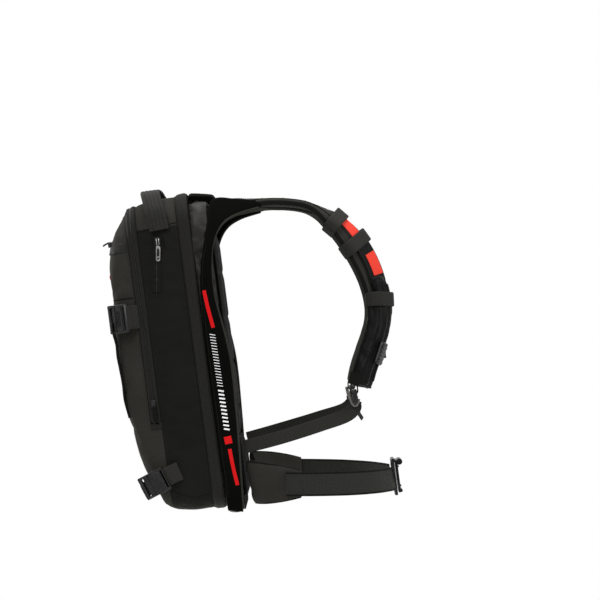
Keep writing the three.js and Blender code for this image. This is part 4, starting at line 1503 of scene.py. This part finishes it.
def make_hip_belt():
    """Padded wings, ribbed webbing with dark hems round the front, and the metal hook buckle."""
    tilt = (-HIP_SLOPE, 0, 1)
    bodies = ("hip_right", "hip_left")
    wing_path = hip_path((8, 118), (14, 128), (32, 146), (58, 158), (86, 164))
    height = lambda t: (71 - 27 * t * t) * MM
    crown = lambda x: 2.2 * MM * abs(math.cos(1.5 * math.pi * x)) ** 0.6
    outline = lambda t: section(height(t), 7.5 * MM, crown, lambda x: 1 * MM, 4, 26)
    wing = swept("hip_wing_pad", wing_path, tilt, outline, 60)
    rumple(wing, 0.7 * MM, 0.02)
    pair(wing, bodies, "fabric", ("hip_wing",))
    for side, edge in ((-1, "lower"), (1, "upper")):
        trim = swept(f"hip_wing_{edge}_binding", wing_path, tilt, section(4.5 * MM, 6.4 * MM, power=3), 50,
                     (0.01, 0.995), 0, lambda t: side * (height(t) / 2 - 2 * MM))
        pair(trim, bodies, "binding")
    belt = hip_path((62, 168.8), (74, 170.6), (88, 170.6), (102, 169.2), (124, 165.2), (165, 150),
                    (205, 112), (229, 66), (236, 44))
    webbing = swept("hip_belt", belt, tilt, section(36 * MM, 2.0 * MM), 160)
    pair(webbing, bodies, "light_webbing", ("hip_webbing",))
    for side, edge in ((-1, "lower"), (1, "upper")):
        hem = swept(f"hip_belt_{edge}_hem", belt, tilt, section(3.0 * MM, 2.8 * MM, power=3), 160,
                    (0.0, 1.0), 0, side * 17.6 * MM)
        pair(hem, bodies, "binding")
    box = []
    for t in np.linspace(0.012, 0.107, 5):
        box.append((belt.at(t), frame_at(belt, t, tilt)[3]))
    rows = []
    for side in (-13, 13):
        rows.append([(p + Vector(tilt).normalized() * side * MM + o * 1.3 * MM, o) for p, o in box])
    for p, o in (box[0], box[-1]):
        rows.append([(p + Vector(tilt).normalized() * a * MM + o * 1.3 * MM, o)
                     for a in np.linspace(-13, 13, 8)])
    for body in bodies:
        side = body.split("_")[1]
        placed = rows if side == "right" else [[(Vector((p.x, -p.y, p.z)), Vector((o.x, -o.y, o.z)))
                                               for p, o in row] for row in rows]
        stitches(f"hip_belt_stitching_{side}", placed, body)
    bevelled("hip_buckle_frame", "hip_right", "dark_metal", 1.0, 3)
    bevelled("hip_buckle_hook", "hip_left", "dark_metal", 1.0, 3)
    frame_low, frame_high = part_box("hip_buckle_frame")
    hook_low, hook_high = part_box("hip_buckle_hook")
    top = frame_high.z + 0.001
    bar = [(Vector((frame_low.x + 0.0035, y * MM, top)), Vector((0, 0, 1))) for y in (-40, -28, -14, 10)]
    single(tube("hip_buckle_bar", bar, 3.6 * MM, count=16), "hip_right", "dark_metal")

    def across_hook(stand_off, z, reach):
        """A level line over the hook's front face, reach millimetres to each side of its middle."""
        return [(Vector((hook_high.x + stand_off, y * MM, z)), Vector((1, 0, 0)))
                for y in (10 - reach, 10, 10 + reach)]

    middle = (hook_low.z + hook_high.z) / 2
    ribs = [tube("rib", across_hook(0.0006, middle + dz, 14), 1.3 * MM) for dz in (0.016, -0.016)]
    single(joined("hip_hook_ribs", ribs), "hip_left", "dark_metal")
    knob = across_hook(0.0030, hook_high.z - 0.003, 19)
    single(tube("hip_hook_roll", knob, 5.2 * MM, count=20), "hip_left", "dark_metal")
    lip = across_hook(0.0004, hook_low.z + 0.003, 17)
    single(tube("hip_hook_lip", lip, 2.6 * MM, count=14), "hip_left", "dark_metal")


# ---------------------------------------------------------------- zip hardware and what is inside

def make_zip_hardware():
    """Sliders with their bridges; the side pull is a plate with a hole and a raised middle."""
    bevelled("main_zip_slider", "main_slider", "dark_metal", 0.7)
    bevelled("side_zip_slider", "side_slider", "dark_metal", 0.8)
    low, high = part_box("side_zip_slider")
    x, z = (low.x + high.x) / 2, (low.z + high.z) / 2
    bridges = []
    for dx in (-1.9, 1.9):
        line = [(Vector((x + dx * MM, low.y + dy * MM, z + dz * MM)), Vector((0, -1, 0)))
                for dy, dz in ((0.4, 4.8), (-1.1, 3.4), (-1.3, 0), (-1.0, -3.2), (0.2, -4.6))]
        bridges.append(tube("bridge", line, 0.85 * MM))
    single(joined("side_slider_bridge", bridges), "side_slider", "metal")
    low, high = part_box("side_zip_pull")
    lean = 0.13
    tall, wide = high.z - low.z, 6.4 * MM
    place = Vector(((low.x + high.x) / 2 - lean * tall / 2, (low.y + high.y) / 2, (low.z + high.z) / 2))
    hole = [(2.0 * MM * math.cos(a), -tall / 2 + 3.6 * MM + 2.0 * MM * math.sin(a))
            for a in np.arange(12) / 12 * 2 * math.pi]
    pull = plate("side_pull_plate", [rounded_outline(wide, tall, 2.9 * MM), hole], 1.3 * MM, place,
                 (1, 0, -lean), (lean, 0, 1), 0.3)
    single(pull, "side_pull", "metal", ("side_zip_pull",))
    grip = rounded_outline(3.6 * MM, tall * 0.5, 1.2 * MM, (0, 1.5 * MM))
    inlay = plate("side_pull_grip", [grip], 0.9 * MM, place + Vector((0, -0.9 * MM, 0)),
                  (1, 0, -lean), (lean, 0, 1), 0.25)
    single(inlay, "side_pull", "dark_metal")
    low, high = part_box("main_zip_slider")
    place = Vector(((low.x + high.x) / 2, low.y - 1.6 * MM, low.z - 9 * MM))
    outline = rounded_outline(6 * MM, 24 * MM, 2.6 * MM)
    pull = plate("main_pull_plate", [outline], 1.4 * MM, place, (1, 0, 0), (0, 0, 1))
    single(pull, "main_slider", "binding")


INSIDE = (                         # node, body, look, bevel in millimetres
    ("blower_housing", "pack", "housing", 1.2),
    ("impeller", "fan", "housing", 0.4),
    ("blower_motor", "pack", "metal", 1.0),
    ("air_duct", "pack", "housing", 0.6),
    ("capacitor_bank", "pack", "housing", 1.2),
    ("control_box", "pack", "housing", 1.5),
    ("power_button", "button", "red_plastic", 0.8),
    ("frame_sheet", "pack", "plastic", 0.5),
    ("frame_stay_right", "pack", "metal", 0.4),
    ("frame_stay_left", "pack", "metal", 0.4),
)


def make_inside():
    """The inflation system, the stiffening sheet and stays, the folded airbag and the divider."""
    for node, body, look, width in INSIDE:
        bevelled(node, body, look, width, 2)
    low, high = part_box("folded_airbag")
    folded = rounded_slab("folded_airbag_cloth", "folded_airbag", 0.024, 0.004, 0.0, 0.003, 0.004)
    points = coordinates(folded.data)
    middle = (low.x + high.x) / 2
    pleats = 0.5 + 0.5 * np.cos(points[:, 2] / 0.021 * 2 * math.pi)
    points[:, 0] = middle + (points[:, 0] - middle) * (0.72 + 0.26 * pleats)
    set_coordinates(folded.data, points)
    rumple(folded, 0.8 * MM, 0.02)
    single(folded, "pack", "airbag", ("folded_airbag",))
    low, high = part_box("inner_divider")
    count, rings = 120, []
    for share in np.linspace(1, 0.02, 14):
        rings.append([Vector((low.x + 0.001, y * share, z * share + (1 - share) * (low.z + high.z) / 2))
                      for y, z in ring(high.y - 0.001, low.z + 0.001, high.z - 0.001, 0.042, count)])
    vertices = [p for r in rings for p in r]
    faces = ring_faces(len(rings), count)
    faces.append([(len(rings) - 1) * count + j for j in range(count)])
    divider = mesh_object("divider_cloth", vertices, faces)
    fix_normals(divider)
    rumple(divider, 0.7 * MM, 0.04)
    thicken(divider, 0.9)
    single(divider, "pack", "nylon", ("inner_divider",))


make_camera()
make_studio()
skin = bag_skin()
bag_tree = make_bag(skin)
bpy.data.objects.remove(skin)
make_seams(bag_tree)
make_front(bag_tree)
make_side_pocket(bag_tree)
make_handle()
make_compartment()
make_harness_sides()
make_yoke()
make_back()
make_shoulder_straps()
make_keepers()
make_trigger_pouch()
make_lower_webbing()
make_carry_straps()
make_sternum_strap()
make_hip_belt()
make_zip_hardware()
make_inside()
